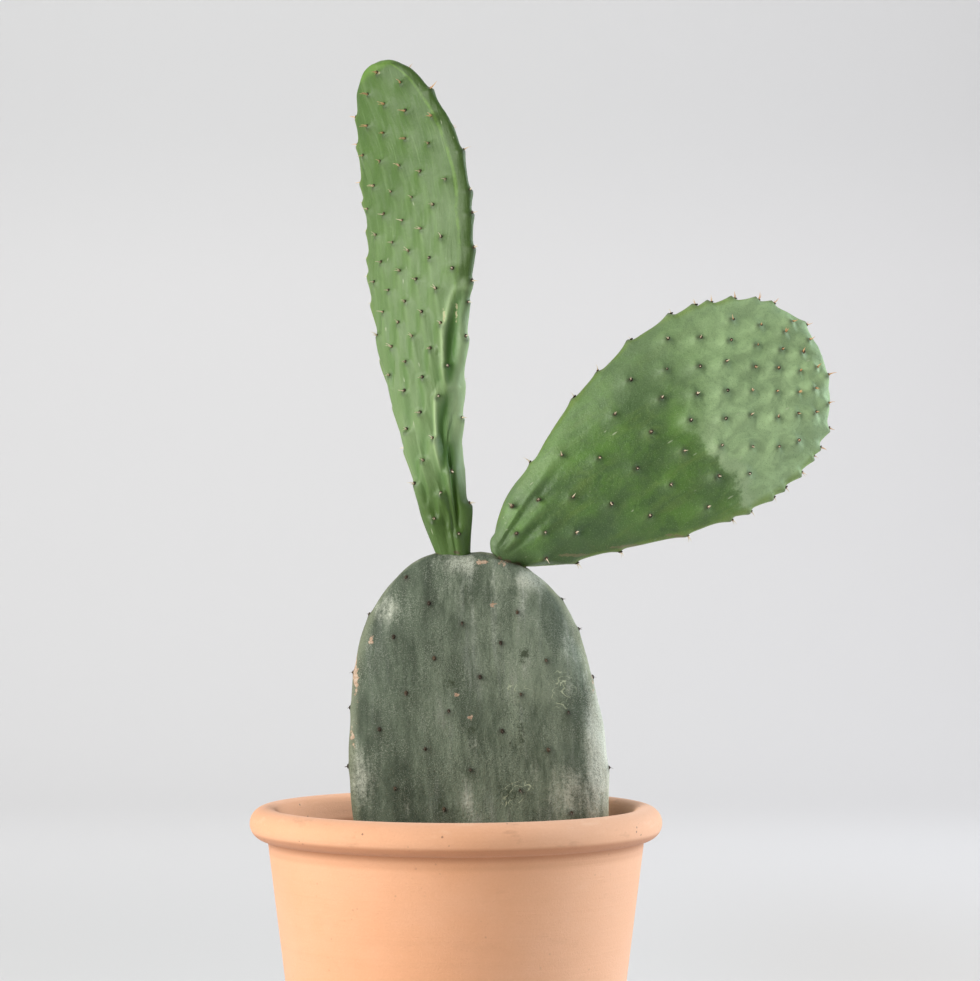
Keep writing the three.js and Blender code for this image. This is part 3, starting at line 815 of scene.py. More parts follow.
def spine_tree():
    """A few spines that fan out of every areole, seeded so that no two areoles are alike."""
    shares = dict.fromkeys(("Length share", "Girth", "Spread", "Swing"), "FLOAT")
    counts = dict.fromkeys(("Fewest", "Most", "Seed"), "INT")
    tree = Modelling("areole_spines", {**shares, **counts, "Material": "MATERIAL"})
    seed = tree.given("Seed")
    inputs = {4: tree.given("Fewest"), 5: tree.given("Most"), 8: seed}
    count = tree.node("FunctionNodeRandomValue", {"data_type": "INT"}, inputs, 2)
    inputs = {"Geometry": tree.given("Geometry"), "Amount": count}
    copies = tree.node("GeometryNodeDuplicateElements", {"domain": "POINT"}, inputs)
    tilt = tree.drawn(0.35, 1.0, seed + 1) * tree.given("Spread")
    azimuth = tree.drawn(-1.0, 1.0, seed + 2) * tree.given("Swing") + math.pi
    local = tree.node("FunctionNodeEulerToRotation", inputs={0: tree.vector(tilt, 0.0, azimuth)})
    inputs = {0: along_outward(tree), 1: local}
    turned = tree.node("FunctionNodeRotateRotation", {"rotation_space": "LOCAL"}, inputs)
    length = tree.named("grown") * tree.given("Length share") * tree.drawn(0.6, 1.1, seed + 3)
    girth = tree.given("Girth") * tree.drawn(0.8, 1.2, seed + 4)
    horn = needle(tree, 5, 3, 0.22)
    fan = tree.strewn(copies, horn, turned, tree.vector(girth, girth, length), seed + 5)
    return tree.finish(tree.node("GeometryNodeSetShadeSmooth", inputs={"Geometry": fan}))


def pot_tree():
    """The pot's section swept round its axis, with drain holes cut through the floor."""
    radii = dict.fromkeys(("Path radius", "Drain radius", "Drain circle"), "FLOAT")
    kinds = {"Segments": "INT", "Drain count": "INT", **radii, "Material": "MATERIAL"}
    tree = Modelling("turned_pot", kinds)

    def ring(steps, radius):
        inputs = {"Resolution": tree.given(steps), "Radius": tree.given(radius)}
        return tree.node("GeometryNodeCurvePrimitiveCircle", inputs=inputs)

    section = tree.node("GeometryNodeMeshToCurve", inputs={"Mesh": tree.given("Geometry")})
    circle = ring("Segments", "Path radius")
    swept = tree.node("GeometryNodeCurveToMesh", inputs={"Curve": circle, "Profile Curve": section})
    welded = tree.node("GeometryNodeMergeByDistance", inputs={"Geometry": swept, "Distance": 0.00002})
    size = {"Vertices": 32, "Radius": tree.given("Drain radius"), "Depth": 0.06}
    drill = tree.node("GeometryNodeMeshCylinder", inputs=size)
    inputs = {"Geometry": ring("Drain count", "Drain circle"), "Rotation": (0.0, 0.0, math.pi / 2)}
    spots = tree.node("GeometryNodeTransform", inputs=inputs)
    drills = tree.node("GeometryNodeInstanceOnPoints", inputs={"Points": spots, "Instance": drill})
    bits = tree.node("GeometryNodeRealizeInstances", inputs={"Geometry": drills})
    settings = {"operation": "DIFFERENCE", "solver": "MANIFOLD"}
    inputs = {"Mesh 1": welded, "Mesh 2": bits}
    return tree.finish(tree.node("GeometryNodeMeshBoolean", settings, inputs))


def grit_tree():
    """Crumbs and grit lying on the soil's top."""
    kinds = {"Grain": "FLOAT", "Density": "FLOAT", "Seed": "INT", "Material": "MATERIAL"}
    tree = Modelling("soil_grit", kinds)
    upward = tree.parts(tree.node("GeometryNodeInputNormal"))[2]
    settings = {"data_type": "FLOAT", "operation": "GREATER_THAN"}
    top = tree.node("FunctionNodeCompare", settings, {0: upward, 1: 0.6})
    inputs = {
        "Mesh": tree.given("Geometry"),
        "Selection": top,
        "Distance Min": tree.given("Grain") * 0.42,
        "Density Max": tree.given("Density"),
        "Seed": tree.given("Seed"),
    }
    scatter = tree.node("GeometryNodeDistributePointsOnFaces", {"distribute_method": "POISSON"}, inputs)
    crumb = tree.node("GeometryNodeMeshIcoSphere", inputs={"Radius": 0.5, "Subdivisions": 1})
    angles = tree.vector(*(tree.drawn(0.0, 6.28, seed) for seed in (21, 22, 23)))
    tumble = tree.node("FunctionNodeEulerToRotation", inputs={0: angles})
    size = tree.given("Grain") * (tree.drawn(0.0, 1.0, 24) ** 2.4 * 0.75 + 0.3)
    sides = ((0.7, 1.3, 25), (0.6, 1.1, 26), (0.5, 0.9, 27))
    scale = tree.vector(*(size * tree.drawn(*side) for side in sides))
    return tree.finish(tree.strewn(scatter, crumb, tumble, scale, 28))


# ---------------------------------------------------------------- finishes


def shaded(colour, factor):
    """The colour made lighter or darker, by one number or one for each channel."""
    factors = factor if isinstance(factor, tuple) else (factor,) * 3
    return tuple(v * f for v, f in zip(colour, factors))


def clay_finish(settings):
    """Fired clay: soft clouds, faint turning lines, painted shade in the crease under the rim, a right side
    painted paler and cooler as painted light, and a damp inside.
    """
    fired, damp = settings.clay[:], settings.damp_clay[:]
    clay = Finish("fired_clay", fired)
    place = clay.place()
    x, y, z = clay.parts(place)
    radius = clay.math("SQRT", x * x + y * y)
    cloud = clay.noise(place, 11.0, 4.0, 0.6)
    turning = clay.noise(clay.stretched(place, (4.0, 4.0, 300.0)), 1.0, 3.0, 0.6)
    fine = clay.noise(place, 1100.0, 3.0, 0.7)
    speck = clay.cells(place, 230.0)
    picked = clay.noise(place, 60.0, 1.0)
    clay.paint(clay.between(cloud, 0.35, 0.68), fired, (1.04, 1.1, 1.2))
    clay.paint(clay.between(turning, 0.5, 0.8, 0.12), fired, 0.8)
    clay.paint(clay.between(fine, 0.52, 0.8, 0.22), fired, 0.74)
    clay.paint(clay.between(fine, 0.46, 0.25, 0.25), fired, (1.15, 1.35, 1.6))
    on_rim = clay.between(z, 0.168, 0.178, 1.0, 0.25)
    dark_speck = clay.between(speck, 0.17, 0.09) * clay.between(picked, 0.6, 0.64) * on_rim
    clay.paint(dark_speck * 0.75, (0.16, 0.08, 0.05))
    rubbed = clay.noise(clay.stretched(place, (38.0, 38.0, 110.0)), 1.0, 4.0, 0.7)
    clay.paint(clay.between(rubbed, 0.58, 0.72) * on_rim * 0.35, fired, (0.62, 0.58, 0.6))
    clay.paint(clay.between(rubbed, 0.42, 0.3) * on_rim * 0.4, fired, (1.1, 1.3, 1.5))
    # painted light: the right side of the pot is painted paler and cooler, standing in for the cool light
    # from the right
    clay.paint(clay.between(x, 0.0, 0.07, 0.5), (1.0, 1.16, 1.32), blend="MULTIPLY")
    # painted shade: a darker band in the crease under the rim's roll
    crease_shade = clay.between(z, 0.169, 0.173, 1.0, 0.25) * clay.between(z, 0.165, 0.168)
    clay.paint(crease_shade * clay.between(z, 0.179, 0.1765) * 0.75, fired, (0.56, 0.44, 0.34))
    inside = clay.between(radius - z * 0.1251, 0.0668, 0.066) * clay.between(z, 0.186, 0.178)
    clay.paint(inside, clay.mix(clay.between(cloud, 0.3, 0.7), damp, shaded(damp, 1.25)))
    grain = clay.bump(fine, 0.0002, clay.bump(turning, 0.0003))
    roughness = clay.between(cloud, 0.3, 0.7, 0.86, 0.72)
    sheen = {"Sheen_Weight": 0.15, "Sheen_Roughness": 0.6}
    return clay.finished(Roughness=roughness, Normal=grain, Specular_IOR_Level=0.3, **sheen)


def soil_finish(settings):
    soil = Finish("potting_mix", settings.peat[:])
    place = soil.place()
    crumbs = soil.noise(place, 240.0, 5.0, 0.7)
    pale = soil.between(soil.noise(place, 700.0, 2.0), 0.6, 0.75)
    soil.paint(soil.between(crumbs, 0.4, 0.65), settings.peat, 2.4)
    soil.paint(pale * 0.5, settings.grit, 0.5)
    return soil.finished(Roughness=0.95, Normal=soil.bump(crumbs, 0.002))


def grit_finish(settings):
    grit = Finish("grit_and_crumbs", settings.peat[:])
    tone = grit.attribute("tone")
    fine = grit.noise(grit.place(), 900.0, 2.0)
    grit.paint(grit.between(tone, 0.3, 0.55), (0.10, 0.060, 0.036))
    grit.paint(grit.between(tone, 0.7, 0.74), (0.24, 0.16, 0.10))
    grit.paint(grit.between(tone, 0.86, 0.88), settings.grit[:])
    grit.paint(grit.between(tone, 0.96, 0.97), (0.74, 0.71, 0.66))
    grit.paint(grit.between(fine, 0.4, 0.7, 0.35), settings.peat[:])
    return grit.finished(Roughness=0.92, Normal=grit.bump(fine, 0.0004))


def cushion_finish():
    felt = Finish("areole_felt", (0.035, 0.024, 0.014))
    tone = felt.attribute("tone")
    fuzz = felt.noise(felt.place(), 2200.0, 2.0, 0.7)
    felt.paint(felt.between(tone, 0.3, 0.9), (0.085, 0.058, 0.032))
    felt.paint(felt.between(fuzz, 0.55, 0.75, 0.4), (0.22, 0.17, 0.10))
    return felt.finished(Roughness=0.95, Normal=felt.bump(fuzz, 0.0004))


def spine_finish(name, root, point, young):
    """Horn that is darker at its root, and orange on the youngest part of a pad."""
    horn = Finish(name, root)
    horn.paint(horn.between(horn.attribute("reach"), 0.0, 0.45), point)
    horn.paint(horn.between(horn.attribute("tone"), 0.3, 1.0, 0.4), point, 1.25)
    horn.paint(horn.between(horn.attribute("age"), 0.34, 0.12, 0.8), young)
    return horn.finished(Roughness=0.5, Specular_IOR_Level=0.4)


class SkinFinish(Finish):
    """A living skin, painted in the pad's own straightened coordinates."""

    def __init__(self, name, ground):
        super().__init__(name, ground)
        self.flat = self.attribute("flat", "Vector")
        for label in (*MARKS, *PATCHES):
            setattr(self, label, self.attribute(label))
        self.pores = self.noise(self.flat, 1750.0, 2.0, 0.8)
        self.grain = self.noise(self.flat, 620.0, 4.0, 0.7)
        self.cloud = self.noise(self.flat, 42.0, 5.0, 0.62)
        self.edge = self.math("ABSOLUTE", self.across)

    def streaks(self, pitch, stretch, low, high, top=1.0, twist=0.4):
        """Long marks that run up the pad."""
        drawn_out = self.stretched(self.flat, (pitch, pitch / stretch, pitch))
        return self.between(self.noise(drawn_out, 1.0, 4.0, 0.62, twist), low, high, top)

    def edge_band(self, inner, outer, top=1.0):
        """The pad's edge, with a ragged inner border."""
        return self.between(self.edge + (self.cloud - 0.5) * 0.12, inner, outer, top)

    def ragged(self, field, low=0.35, high=0.6, wear=0.5):
        """A patch with its border broken up by the skin's grain and clouds."""
        return self.between(field + (self.grain - 0.5) * wear + (self.cloud - 0.5) * wear, low, high)

    def torn(self, field):
        """A patch of dead skin, its border and middle torn."""
        rough = self.noise(self.flat, 430.0, 3.0, 0.65)
        return self.between(field + (rough - 0.5) * 1.9, 0.5, 0.66)

    def ticks(self, scale, stretch, chosen):
        """Sparse short scratches."""
        drawn_out = self.stretched(self.flat, (scale, scale / stretch, scale))
        few = self.between(self.noise(self.flat, 90.0, 1.0), chosen, chosen + 0.03)
        return self.between(self.cells(drawn_out, 1.0), 0.12, 0.05) * few

    def curls(self, scale, field):
        """Thin curling scratches inside a patch."""
        line = self.math("ABSOLUTE", self.noise(self.flat, scale, 0.0, 0.5, 0.6) - 0.5)
        worn = self.between(self.noise(self.flat, 2.0 * scale, 1.0), 0.42, 0.55)
        return self.between(line, 0.03, 0.01) * self.between(field, 0.3, 0.7) * worn

    def closed(self, stain_and_shade, stain_and_shade_share, roughness, gloss, grain_depth, wrinkles, wrinkle_depth):
        """The finished skin, with dry brown skin where pads have grown together, and a dark ring round each
        areole that is partly its stain and partly painted shade of its bump.
        """
        line = self.between(self.joint + (self.grain - 0.5) * 0.5, 0.72, 0.92)
        self.paint(line * 0.8, (0.085, 0.055, 0.03))
        # the areoles' dark rings: partly their stain, partly painted shade of their bumps
        self.paint(self.areole * stain_and_shade_share, stain_and_shade)
        normal = self.bump(self.pores * 0.5 + self.grain, grain_depth, self.bump(wrinkles, wrinkle_depth))
        return self.finished(Roughness=roughness, Normal=normal, Specular_IOR_Level=gloss)


def old_skin_finish(colours):
    """Grey-green under a worn powdery bloom, grained like salt and pepper, with corky scars and stains, and
    painted shade on its left part.
    """
    green, bloom, cork = colours.old_green[:], colours.old_bloom[:], colours.cork[:]
    old = SkinFinish("old_pad_skin", shaded(green, (0.6, 0.66, 0.6)))
    patchy = old.noise(old.stretched(old.flat, (55.0, 19.0, 55.0)), 1.0, 6.0, 0.7)
    washed = old.noise(old.stretched(old.flat, (135.0, 14.0, 135.0)), 1.0, 5.0, 0.66)
    old.paint(old.between(patchy, 0.38, 0.6), green, (1.44, 1.47, 1.44))
    old.paint(old.between(washed, 0.5, 0.7, 0.6), bloom, (0.52, 0.56, 0.56))
    old.paint(old.between(washed, 0.46, 0.3, 0.6), green, (0.42, 0.5, 0.42))
    old.paint(old.between(patchy, 0.58, 0.72, 0.6), bloom, 0.66)
    # painted shade: the left part of the pad is darkened, against the key light that falls on it from the
    # left
    old.paint(old.between(old.across, 0.3, -0.75), (0.49, 0.53, 0.5), blend="MULTIPLY")
    rim = old.edge_band(0.9, 1.0) * old.between(old.across, -0.2, 0.2, 0.8, 0.4)
    old.paint(rim, bloom, (0.66, 0.68, 0.52))
    worn = old.bloom + (patchy - 0.5) * 1.5 + (washed - 0.5) * 1.5 + (old.grain - 0.5) * 1.1
    powder = old.between(worn, 0.15, 1.3) * old.between(old.pores, 0.34, 0.56, 1.0, 0.6)
    old.paint(powder, bloom, 1.36)
    rough = old.between(old.noise(old.flat, 75.0, 3.0, 0.6), 0.36, 0.62, 1.0, 0.35)
    salt = old.between(old.pores, 0.52, 0.68) * rough
    pepper = old.between(old.pores, 0.48, 0.32) * rough * (1.0 - powder * 0.6)
    old.paint(salt * 0.4, bloom)
    old.paint(pepper * 0.75, green, (0.28, 0.32, 0.28))
    old.paint(old.crest * 0.3, green, (0.45, 0.5, 0.42))
    old.paint(old.ragged(old.stains, 0.3, 0.8, 1.7) * 0.9, green, (0.26, 0.3, 0.2))
    old.paint(old.curls(170.0, old.scratches) * 0.62, bloom, (1.3, 1.35, 1.1))
    old.paint(old.curls(260.0, old.scratches) * 0.45, bloom, (1.15, 1.2, 1.0))
    dead = old.mix(old.between(old.grain, 0.4, 0.6), shaded(cork, (0.7, 0.58, 0.5)), cork)
    old.paint(old.torn(old.scars) * 0.9, dead)
    roughness = old.between(patchy, 0.3, 0.7, 0.56, 0.7)
    return old.closed((0.035, 0.033, 0.024), 0.8, roughness, 0.3, 0.0005, patchy, 0.0012)


def tall_skin_finish(colours):
    """Mid green with fine pale streaks, painted shade in its hollows and on its right margin, painted light
    on its ridges and on a strip of its right edge, yellow-green at the edges and the foot.
    """
    green, pale, edge = colours.tall_green[:], colours.tall_pale[:], colours.young_edge[:]
    tall = SkinFinish("tall_pad_skin", shaded(green, 0.92))
    tall.paint(tall.between(tall.cloud, 0.36, 0.66), green, (1.22, 1.14, 1.35))
    tall.paint(tall.between(tall.share, 0.95, 0.2, 0.72), pale)
    tall.paint(tall.between(tall.share, 0.3, 0.16, 0.5), pale, (1.3, 1.25, 1.35))
    tall.paint(tall.streaks(230.0, 11.0, 0.5, 0.7, 0.45), pale)
    tall.paint(tall.streaks(300.0, 12.0, 0.55, 0.75, 0.45), green, (1.0, 1.0, 0.9))
    tall.paint(tall.streaks(620.0, 18.0, 0.56, 0.72, 0.4), pale, 1.15)
    tall.paint(tall.trail * tall.between(tall.share, 0.85, 0.5, 0.5, 0.15), pale, 1.2)
    # painted light: a pale bluish strip on the right edge of the neck, where the fill light from the right
    # falls
    fill_lit_strip = tall.between(tall.across, 0.80, 0.90) * tall.between(tall.share, 0.48, 0.36)
    tall.paint(fill_lit_strip * 0.85, pale, (1.45, 1.35, 1.8))
    upper = tall.between(tall.share, 0.34, 0.5)
    side = tall.across + (tall.cloud - 0.5) * 0.1
    # painted shade: the upper right margin is darkened, as it faces away from the key light
    tall.paint(tall.between(side, 0.82, 0.93) * upper * 0.9, edge, (0.26, 0.35, 0.2))
    broken = tall.between(tall.noise(tall.flat, 120.0, 3.0, 0.6), 0.38, 0.56, 1.0, 0.25)
    band = tall.between(side, 0.825, 0.85) * tall.between(side, 0.90, 0.865) * upper * broken
    top = tall.between(tall.share + (tall.cloud - 0.5) * 0.02, 0.978, 0.99)
    tall.paint(tall.math("MAXIMUM", band, top) * 0.6, edge, (0.8, 1.0, 0.6))
    tall.paint(tall.between(tall.across, -0.88, -0.97, 0.4), edge)
    # painted shade: the hollows above the areoles and the grooves are painted a darker green
    tall.paint(tall.sink * 0.9, green, (0.8, 1.12, 0.7))
    # painted highlight: the tops of the ridges are painted pale
    tall.paint(tall.ridge * 0.9, pale, (2.3, 2.0, 2.6))
    foot = tall.between(tall.share + (tall.cloud - 0.5) * 0.08, 0.13, 0.075, 0.9)
    tall.paint(foot, edge, (0.29, 0.41, 0.17))
    tall.paint(tall.between(tall.pores, 0.6, 0.74, 0.25), pale, 1.3)
    tall.paint(tall.ticks(300.0, 5.0, 0.55) * 0.55, (0.5, 0.55, 0.38))
    tall.paint(tall.torn(tall.scars) * 0.8, (0.44, 0.43, 0.23))
    roughness = tall.between(tall.cloud, 0.3, 0.7, 0.42, 0.52)
    wrinkles = tall.noise(tall.stretched(tall.flat, (300.0, 26.0, 300.0)), 1.0, 3.0, 0.6)
    return tall.closed((0.03, 0.05, 0.018), 0.7, roughness, 0.45, 0.0002, wrinkles, 0.0005)


def broad_skin_finish(colours):
    """Deep green, mottled, bluer low down and ridged at its neck, pale with bloom towards its outer end, with
    painted shade in its hollows and painted highlights on its ridges.
    """
    green, bloom, edge = colours.broad_green[:], colours.broad_bloom[:], colours.young_edge[:]
    broad = SkinFinish("broad_pad_skin", shaded(green, (0.86, 0.9, 0.95)))
    marbled = broad.noise(broad.flat, 95.0, 4.0, 0.65, 0.8)
    broad.paint(broad.between(broad.cloud, 0.38, 0.64), green, (1.28, 1.5, 0.82))
    broad.paint(broad.between(marbled, 0.5, 0.72, 0.5), green, (1.8, 1.65, 1.45))
    broad.paint(broad.between(marbled, 0.46, 0.3, 0.55), green, (0.55, 0.68, 0.6))
    low = broad.between(broad.across, -0.1, 0.75) * broad.between(broad.share, 0.5, 0.3)
    broad.paint(low * 0.65, green, (0.73, 0.74, 1.1))
    broad.paint(broad.streaks(130.0, 5.0, 0.5, 0.72, 0.5), green, (1.7, 1.45, 1.1))
    broad.paint(broad.streaks(170.0, 6.0, 0.54, 0.74, 0.5), green, (0.62, 0.74, 0.62))
    broad.paint(broad.between(broad.share, 0.15, 0.08, 0.8), green, (0.62, 0.66, 0.6))
    outer = broad.share - (broad.across - 0.45) ** 2 * 0.06 + 0.02
    border = outer + (broad.cloud - 0.5) * 0.2 + (broad.grain - 0.5) * 0.03
    faint = broad.between(border, 0.46, 0.8)
    crisp = broad.between(broad.across, -0.55, 0.0)
    powdered = faint + (broad.between(border, 0.6, 0.7) - faint) * crisp
    strength = broad.between(broad.across, -0.6, 0.5, 0.95, 0.75)
    broad.paint(broad.between(broad.across, -0.35, -0.85, 0.32), bloom)
    powder = broad.mix(broad.between(marbled, 0.36, 0.64), shaded(bloom, 0.92), shaded(bloom, 1.3))
    broad.paint(powdered * strength, powder)
    rind = broad.between(border, 0.625, 0.645) * broad.between(border, 0.69, 0.655)
    broad.paint(rind * broad.between(broad.across, -0.1, 0.4, 0.65), bloom, (1.3, 1.2, 1.35))
    broad.paint(broad.edge_band(0.95, 1.0, 0.8), edge, (1.0, 1.0, 0.8))
    # painted shade: the hollows and grooves are painted a darker green
    broad.paint(broad.sink * 0.8, green, (0.5, 0.62, 0.45))
    # painted highlight: the tops of the ridges are painted paler
    broad.paint(broad.ridge * 0.4, bloom, (0.62, 0.75, 0.5))
    broad.paint(broad.crest * broad.between(broad.share, 0.4, 0.7, 0.35, 0.1), bloom, 1.1)
    broad.paint(broad.between(broad.pores, 0.56, 0.74, 0.4), bloom, 1.1)
    broad.paint(broad.between(broad.pores, 0.44, 0.26, 0.55), green, 0.55)
    broad.paint(broad.ticks(240.0, 3.5, 0.52) * 0.6, (0.45, 0.52, 0.33))
    broad.paint(broad.torn(broad.scars) * 0.6, (0.22, 0.185, 0.09))
    roughness = broad.between(powdered, 0.0, 1.0, 0.62, 0.42)
    return broad.closed((0.035, 0.04, 0.015), 0.7, roughness, 0.45, 0.0003, broad.cloud, 0.0012)


def stage_finish():
    """Pale paper with painted light and shade, as the photograph's backdrop is: lighter and cooler towards
    the right, darker towards the top, and on the floor darker towards the front, more so and warmer on the
    right.
    """
    paper = Finish("studio_paper", (0.84, 0.832, 0.83))
    x, y, z = paper.parts(paper.place())
    # painted light and shade on the paper: lighter towards the right, darker at the top, and a darker, warmer
    # floor towards the front and the right
    paper.paint(paper.between(x, -0.2, 0.7), (0.868, 0.861, 0.87))
    paper.paint(paper.between(z, 0.6, 0.94), (0.925, 0.93, 0.93), blend="MULTIPLY")
    floor = paper.mix(paper.between(x, 0.0, 0.35), (0.83, 0.83, 0.82), (0.735, 0.715, 0.685))
    paper.paint(paper.between(y, 1.9, 0.7), floor, blend="MULTIPLY")
    return paper.finished(Roughness=0.95, Specular_IOR_Level=0.1)


# ---------------------------------------------------------------- pieces


def settle(piece, nodes=()):
    """Every piece rides on the one body of the row and stands for its nodes."""
    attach(piece, "root")
    if nodes:
        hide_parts(*nodes)


def wall_radius(z):
    under_roll = POT["height"] - 2 * POT["roll_radius"]
    return POT["foot_radius"] + (POT["wall_radius_under_roll"] - POT["foot_radius"]) * z / under_roll


def inside_wall(z, gap=0.0):
    return wall_radius(z) - POT["wall"] - gap


def pot_section():
    """Half the pot's section as [radius, height], from the middle of its underside round to its floor."""
    middle = POT["height"] - POT["roll_radius"]
    foot = POT["foot_rounding"]
    section = [[r, 0.0] for r in np.linspace(0, POT["foot_radius"] - foot, 9)]
    for a in np.linspace(-math.pi / 2, 0, 7)[1:]:
        section.append([wall_radius(foot) - foot + foot * math.cos(a), foot + foot * math.sin(a)])
    below = middle - POT["tuck"] * POT["roll_radius"]
    section += [[wall_radius(z), z] for z in np.linspace(foot, below, 26)[1:]]
    roll, centre = POT["roll_radius"], POT["roll_centre_radius"]
    for a in np.linspace(-0.5 * math.pi, POT["roll_end"] * math.pi, 44):
        section.append([centre + roll * math.cos(a), middle + roll * math.sin(a)])
    start, lip = section[-1], inside_wall(middle)
    for t in np.linspace(0, 1, 9)[1:]:
        r = (1 - t) ** 2 * start[0] + 2 * t * (1 - t) * (lip + 0.4) + t * t * lip
        z = (1 - t) ** 2 * start[1] + 2 * t * (1 - t) * (POT["height"] - 1.5) + t * t * middle
        section.append([r, z])
    floor, corner = POT["floor"], POT["corner"]
    section += [[inside_wall(z), z] for z in np.linspace(middle, floor + corner, 22)[1:]]
    section += [[inside_wall(floor, 0.3 * corner), floor + 0.3 * corner]]
    section += [[r, floor] for r in np.linspace(inside_wall(floor, corner), 0, 8)]
    return np.array(section)


class CACTUS_OT_pot(bpy.types.Operator):
    """Turn the rolled-rim clay pot"""

    bl_idname = "cactus.pot"
    bl_label = "Clay pot"

    def execute(self, context):
        settings = context.scene.cactus_pot
        path_radius = 0.05
        section = pot_section() * MM
        mesh = bpy.data.meshes.new("pot_section")
        points = [(r - path_radius, -z, 0.0) for r, z in section]  # the sweep turns a section's Y downwards
        mesh.from_pydata(points, [(i, i + 1) for i in range(len(points) - 1)], [])
        values = {
            "Segments": settings.segments,
            "Path radius": path_radius,
            "Drain radius": settings.drain_radius,
            "Drain circle": settings.drain_circle,
            "Drain count": settings.drain_count,
            "Material": clay_finish(settings),
        }
        pot = grown(placed("pot_section", mesh), pot_tree(), "clay_pot", values)
        turn_outwards(pot.data)
        settle(pot, ["terracotta_pot"])
        return {"FINISHED"}


class CACTUS_OT_soil(bpy.types.Operator):
    """Fill the pot with gritty potting mix"""

    bl_idname = "cactus.soil"
    bl_label = "Potting soil"

    def execute(self, context):
        settings = context.scene.cactus_soil
        rings, around = 46, 144
        level, foot, bevel_top = SOIL["level"], SOIL["foot"], SOIL["bevel_top"]
        rim = inside_wall(level, SOIL["wall_gap"])
        rows = [(inside_wall(foot, SOIL["bevel"]), foot, 0)]
        rows += [(inside_wall(bevel_top, SOIL["wall_gap"]), bevel_top, 0)]
        rows += [(rim * i / rings, level, 1) for i in range(rings, 0, -1)]
        angle = 2 * math.pi * np.arange(around) / around
        grid = np.zeros((len(rows), around, 3))
        for i, (radius, z, top) in enumerate(rows):
            x, y = radius * np.cos(angle), radius * np.sin(angle)
            grid[i] = np.stack([x, y, np.full(around, z) + top * clods(x, y, rim)], axis=-1)
        ends = np.array([[0, 0, foot], [0, 0, level + clods(0.0, 0.0, rim)]])
        bed = ring_mesh("soil_bed", grid, *ends, {})
        bed.data.materials.append(soil_finish(settings))
        values = {
            "Grain": settings.grain,
            "Density": settings.density,
            "Seed": settings.seed,
            "Material": grit_finish(settings),
        }
        grit = grown(placed("soil_top", bed.data.copy()), grit_tree(), "soil_grit", values)
        settle(bed, ["potting_soil"])
        settle(grit)
        return {"FINISHED"}


def clods(x, y, rim):
    """Small clods and dips of the soil's surface."""
    coarse = np.sin(x * 0.31 + 1.3) * np.cos(y * 0.27 - 0.6)
    fine = np.sin(x * 0.83 - y * 0.71) * 0.5 + np.sin(x * 1.7 + y * 1.3) * np.sin(y * 1.9) * 0.35
    inside_rim = np.clip((rim - np.hypot(x, y)) / 10, 0, 1)
    return 0.96 * (coarse + fine) * inside_rim


SKINS = {"old_base_pad": old_skin_finish, "tall_pad": tall_skin_finish, "broad_pad": broad_skin_finish}
HORNS = {  # the material's name, and the colours of the spines' roots, their points and the young spines
    "old_base_pad": ("old_spines", (0.04, 0.03, 0.022), (0.14, 0.11, 0.08), (0.14, 0.10, 0.07)),
    "tall_pad": ("tall_pad_spines", (0.45, 0.30, 0.17), (0.80, 0.70, 0.52), (0.70, 0.40, 0.18)),
    "broad_pad": ("broad_pad_spines", (0.42, 0.27, 0.15), (0.80, 0.69, 0.50), (0.72, 0.37, 0.14)),
}
FORMS = {}


class CACTUS_OT_pads(bpy.types.Operator):
    """Grow the three pads' skins"""

    bl_idname = "cactus.pads"
    bl_label = "Pads"

    def execute(self, context):
        scene = context.scene
        for pad in PADS:
            node = pad["node"]
            form = pad_form(pad, scene.cactus_plant)
            FORMS[node] = form
            piece = ring_mesh(node + "_skin", form["points"], form["foot"], form["tip"], form["attributes"])
            piece.data.materials.append(SKINS[node](scene.cactus_colours))
            settle(piece, [node])
        return {"FINISHED"}


class CACTUS_OT_areoles(bpy.types.Operator):
    """Set a felted cushion, bristles and spines on every areole"""

    bl_idname = "cactus.areoles"
    bl_label = "Areoles and spines"

    def execute(self, context):
        settings = context.scene.cactus_plant
        felt = cushion_finish()
        cushions, spines = cushion_tree(), spine_tree()
        share, seed, hairs = settings.spine_length, settings.seed, settings.hairs
        long = {"Length share": share, "Girth": 0.0092, "Spread": 1.15, "Swing": 1.5}
        fine = {"Length share": share * 0.45, "Girth": 0.0022, "Spread": 1.3, "Swing": 3.14}
        for pad in PADS:
            node = pad["node"]
            horn = spine_finish(*HORNS[node])
            size = settings.cushion * pad["areoles"]["cushion"]
            for kind, tree, values in (
                ("areoles", cushions, {"Size": size, "Seed": seed, "Material": felt}),
                ("spines", spines, {**long, "Fewest": 1, "Most": settings.spines, "Seed": seed + 20}),
                ("bristles", spines, {**fine, "Fewest": hairs // 2, "Most": hairs, "Seed": seed + 40}),
            ):
                sites = site_cloud(node + "_sites", pad, FORMS[node])
                made = grown(sites, tree, f"{node}_{kind}", {"Material": horn, **values})
                settle(made)
        return {"FINISHED"}


